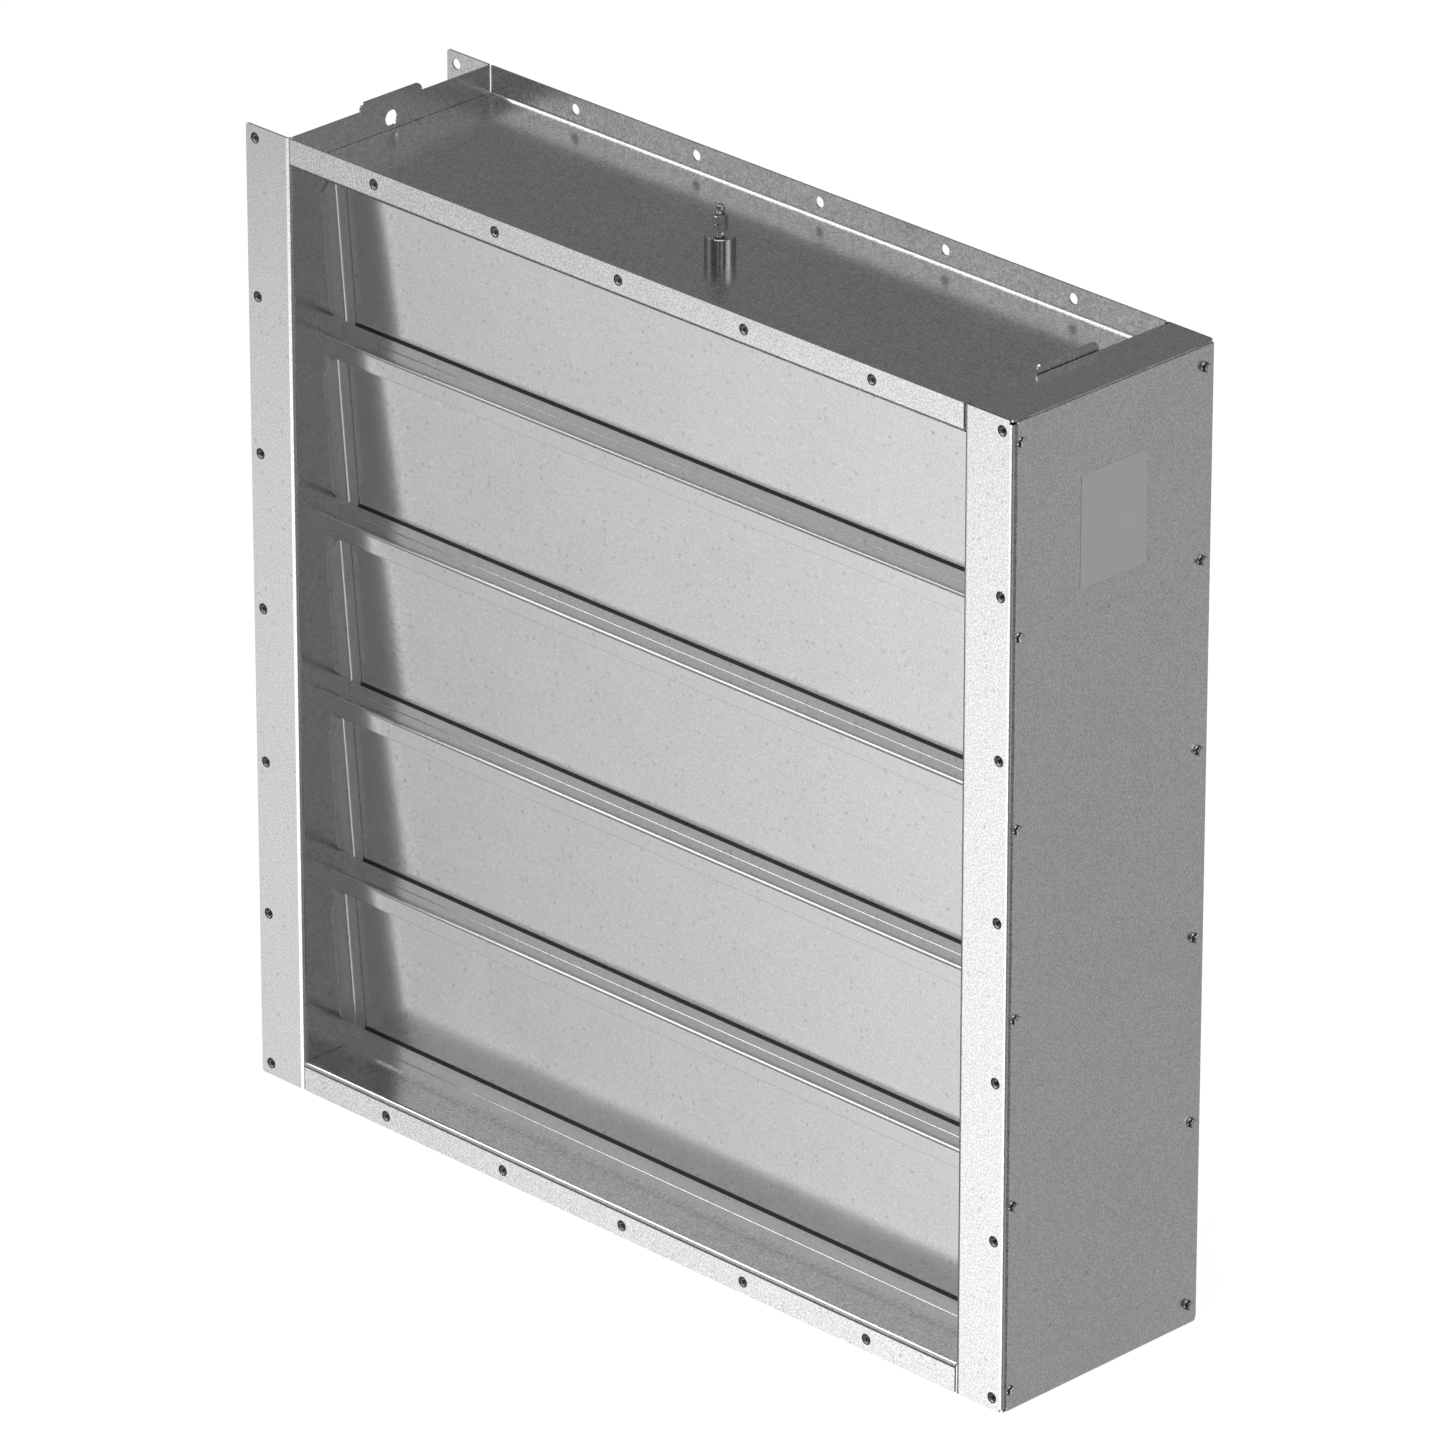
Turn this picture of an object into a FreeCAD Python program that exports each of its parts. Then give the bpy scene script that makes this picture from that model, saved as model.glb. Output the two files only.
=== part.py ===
"""Multi-blade backdraft damper for a square duct, in folded sheet steel.

X runs across the duct, Y along the air flow from inlet to outlet, and Z is up.
The origin is the centre of the inlet flange face. All sizes are in millimetres and degrees.
The blades are shown shut. Each turns about its shaft, and its foot swings towards +Y to open.
"""
import FreeCAD, Part
import math
import os
import re
import Sketcher

SIZES = {
    "frame_width": 1000,          # over the side flanges
    "frame_height": 1000,         # over the top and bottom flanges
    "frame_depth": 265,           # inlet flange face to outlet flange face
    "side_flange": 60,            # duct side of a wall to the edge of its flange
    "top_flange": 30,             # duct side of a panel to the edge of its flange
    "sheet": 2,                   # thickness of the frame's sheet
    "bend_inside": 3,             # inside radius of the flange bends
    "lip_bend_inside": 1,         # inside radius of the lip bends on the linkage case
    "flange_corner": 3,           # rounding of the left wall's flange corners
    "panel_gap": 0.5,             # seam between a panel's ends and the walls
    "hole_margin": 12.5,          # flange hole centre to the flange edge
    "hole_gaps": 6,               # spaces between the flange holes along one side
    "flange_hole": 11,            # diameter, outlet flange
    "lug_width": 80,
    "lug_rise": 9,                # above the wall's top edge
    "lug_corner": 7,
    "lug_eye": 16,                # diameter
    "lug_eye_drop": 16.5,         # eye centre below the wall's top edge
    "lug_relief": 0.8,            # slot between the right lug and the case top
    "lip_width": 22,              # lips that carry the side cover
    "case_seam": 0.4,             # slot between the case top and the flanges and bends
    "case_notch": 3.7,            # corner relief above the lips
    "case_corner": 4,             # rounding of the case top's outer corners
    "case_lip": 20,               # height of the case top's outer lip
    "case_lip_bend": 1.5,         # outside radius of that lip's bend
    "case_edge": 0.3,             # case top's edge behind the face of its lip
    "cover_thickness": 2,
    "cover_side_inset": 5,        # cover edge behind the flange face
    "cover_end_inset": 1.8,
    "cover_corner": 2,
    "screw_count": 6,             # cover screws in one row
    "screw_front": 9.5,           # front row behind the inlet flange face
    "screw_back": 15.5,           # back row in front of the outlet flange face
    "screw_end": 22,              # first and last screw from the ends of the wall
    "screw_diameter": 5,
    "screw_clearance": 0.1,       # hole over screw, on the radius
    "screw_flats": 8,
    "screw_head": 4.6,            # height of the hexagon
    "screw_washer": 10.5,         # diameter of the head's flange
    "screw_washer_height": 1.3,
    "screw_tail": 5,              # shank beyond the lip
    "blade_count": 5,
    "blade_sheet": 1.25,
    "blade_lean": 4.5,            # degrees from upright when shut, foot towards the outlet
    "blade_side_gap": 2.5,        # blade end to wall
    "blade_foot": 12,             # stiffening fold along the foot
    "blade_foot_gap": 2.7,        # foot above the ledge below it
    "blade_bend_inside": 1.5,
    "hinge_depth": 57.5,          # shaft axis behind the inlet flange face
    "hinge_drop": 10,             # shaft axis below the top of its bay
    "shaft_diameter": 10,
    "shaft_stub": 10,             # shaft beyond the left wall
    "shaft_end": 1,               # shaft beyond its lever
    "eye_clearance": 0.05,        # rolled edge over the shaft, on the radius
    "eye_slit": 0.6,              # where the rolled edge closes on the blade
    "eye_gap": 1.7,               # rolled edge to the front lip
    "pin_diameter": 4,
    "pin_clearance": 0.05,
    "pin_count": 3,               # pins that hold one blade on its shaft
    "pin_margin": 60,             # first and last pin from the blade's ends
    "seat_gap": 0.3,              # shut blade to its stops
    "front_lip": 20.5,            # crossbar lip that hangs in front of the blade's top
    "rear_lip_rise": 11.3,        # crossbar lip above its ledge, behind which the foot shuts
    "bar_bend_inside": 1,
    "top_stop_leg": 20,
    "bottom_stop_foot": 17,
    "bottom_lip_rise": 16.4,      # above the foot of the bottom stop
    "stop_wall_leg": 18,
    "stop_face_leg": 15,
    "stop_mitre": 15,
    "stop_bend_inside": 2,
    "stop_end_gap": 0.5,
    "bush_barrel": 14,            # diameter
    "bush_flange": 20,            # diameter
    "bush_flange_height": 3,
    "bush_nose": 1.5,             # barrel beyond the wall, towards the blade
    "bush_clearance": 0.05,       # bore over shaft and hole over barrel, on the radius
    "lever_gap": 0.5,             # bush flange to lever, and lever to link bar
    "lever_hub": 20,              # diameter
    "lever_hub_height": 12,
    "lever_sheet": 3,
    "lever_length": 36,           # shaft axis to link pin
    "lever_drop": 35,             # degrees below level when shut
    "lever_end": 16,              # diameter round the link pin
    "link_width": 20,
    "link_sheet": 4,
    "link_pin": 8,                # diameter
    "link_pin_head": 14,
    "link_pin_head_height": 3,
    "link_pin_clearance": 0.05,
    "nut_flats": 14,              # captive nut behind a flange hole
    "nut_height": 6.5,
    "nut_thread": 8,
    "nut_collar": 11,             # spigot in its hole in the inlet flange
    "nut_clearance": 0.2,         # hole over spigot, on the radius
    "nut_recess": 0.3,            # spigot behind the flange face
    "earth_boss": 30,             # diameter
    "earth_boss_height": 22,
    "earth_boss_edge": 0.6,
    "earth_stud": 8,              # diameter
    "earth_stud_rise": 30,        # above the boss
    "earth_stud_depth": 12,       # in the boss
    "earth_stud_edge": 1.5,
    "earth_nut_flats": 13,
    "earth_nut_height": 7.8,
    "earth_nut_rise": 4,          # lower nut above the boss
    "earth_nut_step": 8,
    "earth_clearance": 0.05,
}

LEFT = -1
RIGHT = 1
BOTTOM = -1
TOP = 1
TOLERANCE = 0.01

# Places that several pieces share, as formulas on the sizes.
WALL = "(frame_width / 2 - side_flange)"
WALL_MIDDLE = "(%s + sheet / 2)" % WALL
WALL_OUTSIDE = "(%s + sheet)" % WALL
CASE_SIDE = "(frame_width / 2)"
CLEAR_TOP = "(frame_height / 2 - top_flange)"
PITCH = "(2 * %s / blade_count)" % CLEAR_TOP
LOWEST_HINGE = "(%s - %s - hinge_drop)" % (PITCH, CLEAR_TOP)
HOLE_PITCH_X = "((frame_width - 2 * hole_margin) / hole_gaps)"
HOLE_PITCH_Z = "((frame_height - 2 * hole_margin) / hole_gaps)"
SCREW_PITCH = "((frame_height - 2 * screw_end) / (screw_count - 1))"
BLADE_END = "(%s - blade_side_gap)" % WALL
EYE_INSIDE = "(shaft_diameter / 2 + eye_clearance)"
EYE_OUTSIDE = "(%s + blade_sheet)" % EYE_INSIDE
FRONT_LIP = "(hinge_depth - %s - eye_gap - sheet)" % EYE_OUTSIDE
FRONT_LIP_FOOT = "(%s + front_lip * tan(blade_lean))" % FRONT_LIP
SEAT_DROP = "(%s - hinge_drop - sheet / 2 - rear_lip_rise)" % PITCH
BOTTOM_SEAT_DROP = "(%s - hinge_drop - sheet - bottom_lip_rise)" % PITCH
STOP_FACE = "(-blade_sheet / 2 - seat_gap)"
PIN_PITCH = "(2 * (%s - pin_margin) / (pin_count - 1))" % BLADE_END
LEVER_START = "(%s + bush_flange_height + lever_gap)" % WALL_OUTSIDE
LEVER_FACE = "(%s + lever_hub_height)" % LEVER_START
LINK_START = "(%s + lever_gap)" % LEVER_FACE
PANEL_TOP = "(%s + sheet)" % CLEAR_TOP
BOSS_TOP = "(%s + earth_boss_height)" % PANEL_TOP

document = FreeCAD.newDocument("backdraft_damper")
sheet = document.addObject("Spreadsheet::Sheet", "Sizes")
finished = []


def fill_sheet():
    """Write each size in the sheet, beside its name."""
    for row, (name, number) in enumerate(SIZES.items(), start=1):
        sheet.set("A%d" % row, name)
        sheet.set("B%d" % row, str(number))
        sheet.setAlias("B%d" % row, name)
    document.recompute()


def size(name):
    """The number that the sheet holds for a size."""
    return float(sheet.get(name))


def formula(text):
    """Point the size names in a formula at the sheet."""
    def point(word):
        name = word.group(0)
        return "Sizes." + name if name in SIZES else name
    return re.sub(r"[a-z_]+", point, text)


def blade_seat(drop):
    """Back of an upright lip whose top meets the shut blade this far below the shaft axis."""
    return "(hinge_depth + %s * tan(blade_lean) - blade_sheet / 2 / cos(blade_lean) - seat_gap)" % drop


def signed(side, text):
    """A formula on the left or bottom side when side is -1, on the other when it is 1."""
    return "%d * (%s)" % (side, text)


# Bodies, sketches and features.

def new_body(label, x="0", y="0", z="0", turn="0"):
    """An empty body at a place, turned about the X direction."""
    body = document.addObject("PartDesign::Body", label)
    body.Label = label
    body.AllowCompound = True
    body.Placement = FreeCAD.Placement(FreeCAD.Vector(), FreeCAD.Rotation(FreeCAD.Vector(1, 0, 0), 1))
    for axis, text in (("x", x), ("y", y), ("z", z)):
        body.setExpression("Placement.Base.%s" % axis, formula(text))
    body.setExpression("Placement.Rotation.Angle", formula(turn))
    return body


def origin_feature(body, role):
    """One of the body's own axes or planes."""
    return [feature for feature in body.Origin.OriginFeatures if feature.Role == role][0]


def new_sketch(body, plane, offset):
    """A sketch on a plane of the body, moved along the plane's normal."""
    sketch = body.newObject("Sketcher::SketchObject", body.Label + "_outline")
    sketch.AttachmentSupport = [(origin_feature(body, plane), "")]
    sketch.MapMode = "FlatFace"
    sketch.setExpression("AttachmentOffset.Base.z", formula(offset))
    return sketch


def place_point(sketch, element, end, place):
    """Hold a point of the sketch at a place given by two formulas."""
    for kind, text in zip(("DistanceX", "DistanceY"), place):
        index = sketch.addConstraint(Sketcher.Constraint(kind, element, end, 1.0))
        sketch.setExpression("Constraints[%d]" % index, formula(text))


def polygon(body, plane, corners, offset="0"):
    """A closed outline through the corners."""
    sketch = new_sketch(body, plane, offset)
    count = len(corners)
    start = []
    for number in range(count):
        angle = 2 * math.pi * number / count
        start.append(FreeCAD.Vector(math.cos(angle), math.sin(angle), 0))
    for number in range(count):
        sketch.addGeometry(Part.LineSegment(start[number], start[(number + 1) % count]))
    for number in range(count):
        sketch.addConstraint(Sketcher.Constraint("Coincident", number, 2, (number + 1) % count, 1))
    for number, corner in enumerate(corners):
        place_point(sketch, number, 1, corner)
    return sketch


def rectangle(body, plane, low, high, offset="0"):
    """A rectangle between two corners."""
    corners = [low, (high[0], low[1]), high, (low[0], high[1])]
    return polygon(body, plane, corners, offset)


def hexagon(body, plane, flats, offset="0", turn=0):
    """A hexagon round the plane's origin, given by its width over flats."""
    corners = []
    for number in range(6):
        direction = 60 * number + turn
        reach = "%s / 2 / cos(30)" % flats
        corners.append(("%s * cos(%d)" % (reach, direction), "%s * sin(%d)" % (reach, direction)))
    return polygon(body, plane, corners, offset)


def circles(body, plane, places, diameters, offset="0"):
    """Circles at places given by formulas."""
    sketch = new_sketch(body, plane, offset)
    for number, (place, diameter) in enumerate(zip(places, diameters)):
        sketch.addGeometry(Part.Circle(FreeCAD.Vector(), FreeCAD.Vector(0, 0, 1), 1))
        place_point(sketch, number, 3, place)
        index = sketch.addConstraint(Sketcher.Constraint("Diameter", number, 1.0))
        sketch.setExpression("Constraints[%d]" % index, formula(diameter))
    return sketch


def pad(body, sketch, length, backwards=False):
    """Add material from the sketch, along its plane's normal or against it."""
    feature = body.newObject("PartDesign::Pad", body.Label + "_pad")
    feature.Profile = sketch
    feature.Reversed = backwards
    feature.setExpression("Length", formula(length))
    return feature


def pocket(body, sketch, length):
    """Cut the sketch's outline half the length to each side of its plane."""
    feature = body.newObject("PartDesign::Pocket", body.Label + "_cut")
    feature.Profile = sketch
    feature.SideType = "Symmetric"
    feature.setExpression("Length", formula(length))
    return feature


def repeat(body, features, axis, spacing, count):
    """Copy features along an axis of the body."""
    pattern = body.newObject("PartDesign::LinearPattern", body.Label + "_row")
    pattern.Originals = features
    pattern.Direction = (origin_feature(body, axis), [""])
    pattern.setExpression("Length", formula("%s * (%s - 1)" % (spacing, count)))
    pattern.setExpression("Occurrences", formula(count))
    body.Tip = pattern
    return pattern


def mirror(body, features, plane):
    """Copy features to the other side of a plane of the body."""
    copy = body.newObject("PartDesign::Mirrored", body.Label + "_mirror")
    copy.Originals = features
    copy.MirrorPlane = (origin_feature(body, plane), [""])
    body.Tip = copy
    return copy


def edges_where(body, direction, test):
    """Names of the straight edges along a direction whose middle passes a test."""
    names = []
    for number, edge in enumerate(body.Tip.Shape.Edges, start=1):
        if not isinstance(edge.Curve, Part.Line):
            continue
        if abs(abs(edge.Curve.Direction.dot(direction)) - 1) < TOLERANCE and test(edge.CenterOfMass):
            names.append("Edge%d" % number)
    return names


def dress(body, kind, names, property_name, amount):
    """A fillet or chamfer on named edges of the body's last feature."""
    base = body.Tip
    feature = body.newObject(kind, body.Label + "_edge")
    feature.Base = (base, names)
    feature.setExpression(property_name, formula(amount))
    document.recompute()
    return feature


def bend(body, sketch, corners, radius):
    """Round the edges that rise from some corners of an outline."""
    document.recompute()
    normal = sketch.Placement.Rotation.multVec(FreeCAD.Vector(0, 0, 1))
    points = [sketch.Placement.multVec(sketch.Geometry[corner].StartPoint) for corner in corners]

    def on_a_corner(middle):
        return any((middle - point).cross(normal).Length < TOLERANCE for point in points)
    return dress(body, "PartDesign::Fillet", edges_where(body, normal, on_a_corner), "Radius", radius)


def round_edges(body, direction, test, radius):
    """Round the edges along a direction whose middle passes a test."""
    document.recompute()
    return dress(body, "PartDesign::Fillet", edges_where(body, direction, test), "Radius", radius)


def keep(body):
    """Mark a piece as finished."""
    finished.append(body)
    return body


ALONG_X = FreeCAD.Vector(1, 0, 0)
ALONG_Y = FreeCAD.Vector(0, 1, 0)
ALONG_Z = FreeCAD.Vector(0, 0, 1)


# Frame.

def cut_flange_holes(body, place, axis, spacing, count):
    """A row of holes through both flanges: for the captive nuts in front, plain behind."""
    front = circles(body, "XZ_Plane", [place], ["nut_collar + 2 * nut_clearance"], "-sheet / 2")
    front_hole = pocket(body, front, "2 * sheet")
    back = circles(body, "XZ_Plane", [place], ["flange_hole"], "sheet / 2 - frame_depth")
    back_hole = pocket(body, back, "2 * sheet")
    repeat(body, [front_hole, back_hole], axis, spacing, count)


def cut_wall_flange_holes(body, side):
    """The holes along a wall's flanges."""
    place = (signed(side, "frame_width / 2 - hole_margin"), "hole_margin - frame_height / 2")
    cut_flange_holes(body, place, "Z_Axis", HOLE_PITCH_Z, "hole_gaps + 1")


def cut_bush_holes(body, side):
    """One hole in the wall for each blade's bush."""
    place = ("hinge_depth", LOWEST_HINGE)
    diameter = "bush_barrel + 2 * bush_clearance"
    sketch = circles(body, "YZ_Plane", [place], [diameter], signed(side, WALL_MIDDLE))
    hole = pocket(body, sketch, "2 * sheet")
    repeat(body, [hole], "Z_Axis", PITCH, "blade_count")


def add_lug(body, side):
    """Lifting lug in the wall's plane, with its eye."""
    low = ("(frame_depth - lug_width) / 2", "frame_height / 2 - lug_corner")
    high = ("(frame_depth + lug_width) / 2", "frame_height / 2 + lug_rise")
    sketch = rectangle(body, "YZ_Plane", low, high, signed(side, WALL))
    pad(body, sketch, "sheet", backwards=(side == LEFT))
    document.recompute()
    lug_top = body.Tip.Shape.BoundBox.ZMax
    round_edges(body, ALONG_X, lambda middle: abs(middle.z - lug_top) < TOLERANCE, "lug_corner")
    place = ("frame_depth / 2", "frame_height / 2 - lug_eye_drop")
    eye = circles(body, "YZ_Plane", [place], ["lug_eye"], signed(side, WALL_MIDDLE))
    pocket(body, eye, "2 * sheet")


def build_left_wall():
    """Folded wall: a web and two flanges turned outwards."""
    body = new_body("left_wall")
    edge = "-frame_width / 2"
    inside = "-%s" % WALL
    outside = "-%s" % WALL_OUTSIDE
    corners = [
        (edge, "0"), (inside, "0"), (inside, "frame_depth"), (edge, "frame_depth"),
        (edge, "frame_depth - sheet"), (outside, "frame_depth - sheet"), (outside, "sheet"), (edge, "sheet"),
    ]
    section = polygon(body, "XY_Plane", corners, "-frame_height / 2")
    pad(body, section, "frame_height")
    bend(body, section, [1, 2], "bend_inside + sheet")
    bend(body, section, [5, 6], "bend_inside")
    flange_edge = -size("frame_width") / 2
    round_edges(body, ALONG_Y, lambda middle: abs(middle.x - flange_edge) < TOLERANCE, "flange_corner")
    add_lug(body, LEFT)
    cut_wall_flange_holes(body, LEFT)
    cut_bush_holes(body, LEFT)
    return keep(body)


def fold_case_end(body, side):
    """Close one end of the linkage case: a bend out of the web, a plate and an outer lip."""
    end = signed(side, "frame_height / 2")
    under = signed(side, "frame_height / 2 - sheet")
    start = signed(side, "frame_height / 2 - sheet - bend_inside - case_seam")
    beyond = signed(side, "frame_height / 2 + 1")
    plate_start = "%s + bend_inside" % WALL_OUTSIDE
    bend_end = "%s + case_seam" % plate_start
    middle = "-frame_depth / 2"
    flat_depth = "frame_depth - 2 * sheet - 2 * bend_inside"
    clear_low = ("%s - 1" % WALL, start)
    clear_high = (plate_start, beyond)
    pocket(body, rectangle(body, "XZ_Plane", clear_low, clear_high, middle), flat_depth)
    corners = [
        (WALL, start), (WALL, end), (bend_end, end), (bend_end, under),
        (WALL_OUTSIDE, under), (WALL_OUTSIDE, start),
    ]
    back_of_bend = "frame_depth - sheet - bend_inside - case_seam"
    section = polygon(body, "XZ_Plane", corners, "-(%s)" % back_of_bend)
    pad(body, section, "%s - 2 * case_seam" % flat_depth)
    bend(body, section, [1], "bend_inside + sheet")
    bend(body, section, [4], "bend_inside")
    plate_edge = "%s - case_edge" % CASE_SIDE
    plate_low = (plate_start, "sheet + case_seam")
    plate_high = (plate_edge, "frame_depth - sheet - case_seam")
    pad(body, rectangle(body, "XY_Plane", plate_low, plate_high, end), "sheet", backwards=(side == TOP))
    plate_side = size("frame_width") / 2 - size("case_edge")
    plate_middle = side * (size("frame_height") - size("sheet")) / 2

    def outer_corner(place):
        at_side = abs(place.x - plate_side) < TOLERANCE
        return at_side and abs(place.z - plate_middle) < TOLERANCE
    round_edges(body, ALONG_Z, outer_corner, "case_corner")
    lip_low = ("%s - sheet" % CASE_SIDE, "lip_width + case_seam")
    lip_high = (CASE_SIDE, "frame_depth - lip_width - case_seam")
    pad(body, rectangle(body, "XY_Plane", lip_low, lip_high, end), "case_lip", backwards=(side == TOP))
    edge_height = side * size("frame_height") / 2

    def lip_edge(place):
        at_side = abs(place.x - size("frame_width") / 2) < TOLERANCE
        return at_side and abs(place.z - edge_height) < TOLERANCE
    round_edges(body, ALONG_Y, lip_edge, "case_lip_bend")


def build_right_wall():
    """Folded wall that is also the linkage case: flanges, lips and closed ends."""
    body = new_body("right_wall")
    lip_inside = "%s - sheet" % CASE_SIDE
    corners = [
        (WALL, "0"), (CASE_SIDE, "0"), (CASE_SIDE, "lip_width"), (lip_inside, "lip_width"),
        (lip_inside, "sheet"), (WALL_OUTSIDE, "sheet"),
        (WALL_OUTSIDE, "frame_depth - sheet"), (lip_inside, "frame_depth - sheet"),
        (lip_inside, "frame_depth - lip_width"), (CASE_SIDE, "frame_depth - lip_width"),
        (CASE_SIDE, "frame_depth"), (WALL, "frame_depth"),
    ]
    section = polygon(body, "XY_Plane", corners, "-frame_height / 2")
    pad(body, section, "frame_height")
    bend(body, section, [0, 11], "bend_inside + sheet")
    bend(body, section, [5, 6], "bend_inside")
    bend(body, section, [1, 10], "lip_bend_inside + sheet")
    bend(body, section, [4, 7], "lip_bend_inside")
    notch_low = ("%s - case_notch" % CASE_SIDE, "frame_height / 2 - case_notch")
    notch_high = ("%s + 1" % CASE_SIDE, "frame_height / 2 + 1")
    notch_outline = rectangle(body, "XZ_Plane", notch_low, notch_high, "-frame_depth / 2")
    notch = pocket(body, notch_outline, "frame_depth + sheet")
    mirror(body, [notch], "XY_Plane")
    for side in (BOTTOM, TOP):
        fold_case_end(body, side)
    add_lug(body, RIGHT)
    relief_outside = "%s + lug_relief" % WALL_OUTSIDE
    beyond = "%s - 1" % WALL
    lug_front = "(frame_depth - lug_width) / 2"
    lug_back = "(frame_depth + lug_width) / 2"
    corners = [
        (beyond, "%s - lug_relief" % lug_front), (relief_outside, "%s - lug_relief" % lug_front),
        (relief_outside, "%s + lug_relief" % lug_back), (beyond, "%s + lug_relief" % lug_back),
        (beyond, lug_back), (WALL_OUTSIDE, lug_back), (WALL_OUTSIDE, lug_front), (beyond, lug_front),
    ]
    relief = polygon(body, "XY_Plane", corners, "frame_height / 2")
    pocket(body, relief, "2 * (sheet + bend_inside)")
    cut_wall_flange_holes(body, RIGHT)
    cut_bush_holes(body, RIGHT)
    cut_screw_holes(body, "%s - sheet / 2" % CASE_SIDE, "2 * sheet")
    return keep(body)


def cut_screw_holes(body, across, length):
    """Two rows of cover screw holes."""
    lowest = "screw_end - frame_height / 2"
    places = [("screw_front", lowest), ("frame_depth - screw_back", lowest)]
    diameter = "screw_diameter + 2 * screw_clearance"
    sketch = circles(body, "YZ_Plane", places, [diameter, diameter], across)
    holes = pocket(body, sketch, length)
    repeat(body, [holes], "Z_Axis", SCREW_PITCH, "screw_count")


def build_side_cover():
    """Flat plate over the linkage case."""
    body = new_body("side_cover")
    low = ("cover_side_inset", "cover_end_inset - frame_height / 2")
    high = ("frame_depth - cover_side_inset", "frame_height / 2 - cover_end_inset")
    pad(body, rectangle(body, "YZ_Plane", low, high, CASE_SIDE), "cover_thickness")
    round_edges(body, ALONG_X, lambda middle: True, "cover_corner")
    cut_screw_holes(body, "%s + cover_thickness / 2" % CASE_SIDE, "2 * cover_thickness")
    return keep(body)


def build_panel(label, side):
    """Folded channel between the walls, flanges turned away from the duct."""
    body = new_body(label)
    duct = signed(side, CLEAR_TOP)
    back_of_web = signed(side, PANEL_TOP)
    edge = signed(side, "frame_height / 2")
    corners = [
        ("0", duct), ("frame_depth", duct), ("frame_depth", edge), ("frame_depth - sheet", edge),
        ("frame_depth - sheet", back_of_web), ("sheet", back_of_web), ("sheet", edge), ("0", edge),
    ]
    section = polygon(body, "YZ_Plane", corners, "panel_gap - %s" % WALL)
    pad(body, section, "2 * (%s - panel_gap)" % WALL)
    bend(body, section, [0, 1], "bend_inside + sheet")
    bend(body, section, [4, 5], "bend_inside")
    place = ("%s + hole_margin - frame_width / 2" % HOLE_PITCH_X, signed(side, "frame_height / 2 - hole_margin"))
    cut_flange_holes(body, place, "X_Axis", HOLE_PITCH_X, "hole_gaps - 1")
    return keep(body)


# Stops round the blades.

def build_crossbar(number):
    """Z-folded bar between two bays: front lip down, leaning as the blades do, ledge, rear lip up."""
    body = new_body("crossbar_%d" % number)
    bay_edge = "%s - %d * %s" % (CLEAR_TOP, number, PITCH)
    ledge_top = "%s + sheet / 2" % bay_edge
    ledge_under = "%s - sheet / 2" % bay_edge
    lip_foot = "%s - front_lip" % ledge_top
    lip_top = "%s + rear_lip_rise" % ledge_top
    rear = blade_seat(SEAT_DROP)
    corners = [
        (FRONT_LIP, ledge_top), ("%s - sheet" % rear, ledge_top), ("%s - sheet" % rear, lip_top), (rear, lip_top),
        (rear, ledge_under), ("%s + sheet" % FRONT_LIP, ledge_under), ("%s + sheet" % FRONT_LIP_FOOT, lip_foot),
        (FRONT_LIP_FOOT, lip_foot),
    ]
    section = polygon(body, "YZ_Plane", corners, "-%s" % WALL)
    pad(body, section, "2 * %s" % WALL)
    bend(body, section, [0, 4], "bar_bend_inside + sheet")
    bend(body, section, [1, 5], "bar_bend_inside")
    return keep(body)


def build_top_stop():
    """Folded angle under the top panel, its lip in front of the top blade."""
    body = new_body("top_stop")
    under = "%s - sheet" % CLEAR_TOP
    foot = "%s + sheet / 2 - front_lip" % CLEAR_TOP
    back = "%s + top_stop_leg" % FRONT_LIP
    corners = [
        (FRONT_LIP, CLEAR_TOP), (back, CLEAR_TOP), (back, under), ("%s + sheet" % FRONT_LIP, under),
        ("%s + sheet" % FRONT_LIP_FOOT, foot), (FRONT_LIP_FOOT, foot),
    ]
    section = polygon(body, "YZ_Plane", corners, "-%s" % WALL)
    pad(body, section, "2 * %s" % WALL)
    bend(body, section, [0], "bar_bend_inside + sheet")
    bend(body, section, [3], "bar_bend_inside")
    return keep(body)


def build_bottom_stop():
    """Folded angle on the bottom panel, its lip in front of the bottom blade's foot."""
    body = new_body("bottom_stop")
    floor = "-%s" % CLEAR_TOP
    foot_top = "%s + sheet" % floor
    lip_top = "%s + bottom_lip_rise" % foot_top
    rear = blade_seat(BOTTOM_SEAT_DROP)
    front = "%s - bottom_stop_foot" % rear
    corners = [
        (front, floor), (rear, floor), (rear, lip_top), ("%s - sheet" % rear, lip_top),
        ("%s - sheet" % rear, foot_top), (front, foot_top),
    ]
    section = polygon(body, "YZ_Plane", corners, "-%s" % WALL)
    pad(body, section, "2 * %s" % WALL)
    bend(body, section, [1], "bar_bend_inside + sheet")
    bend(body, section, [4], "bar_bend_inside")
    return keep(body)


def hinge_height(number):
    """Height of one blade's shaft axis. Blade 1 is the top one."""
    return "%s - hinge_drop - %d * %s" % (CLEAR_TOP, number - 1, PITCH)


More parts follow.
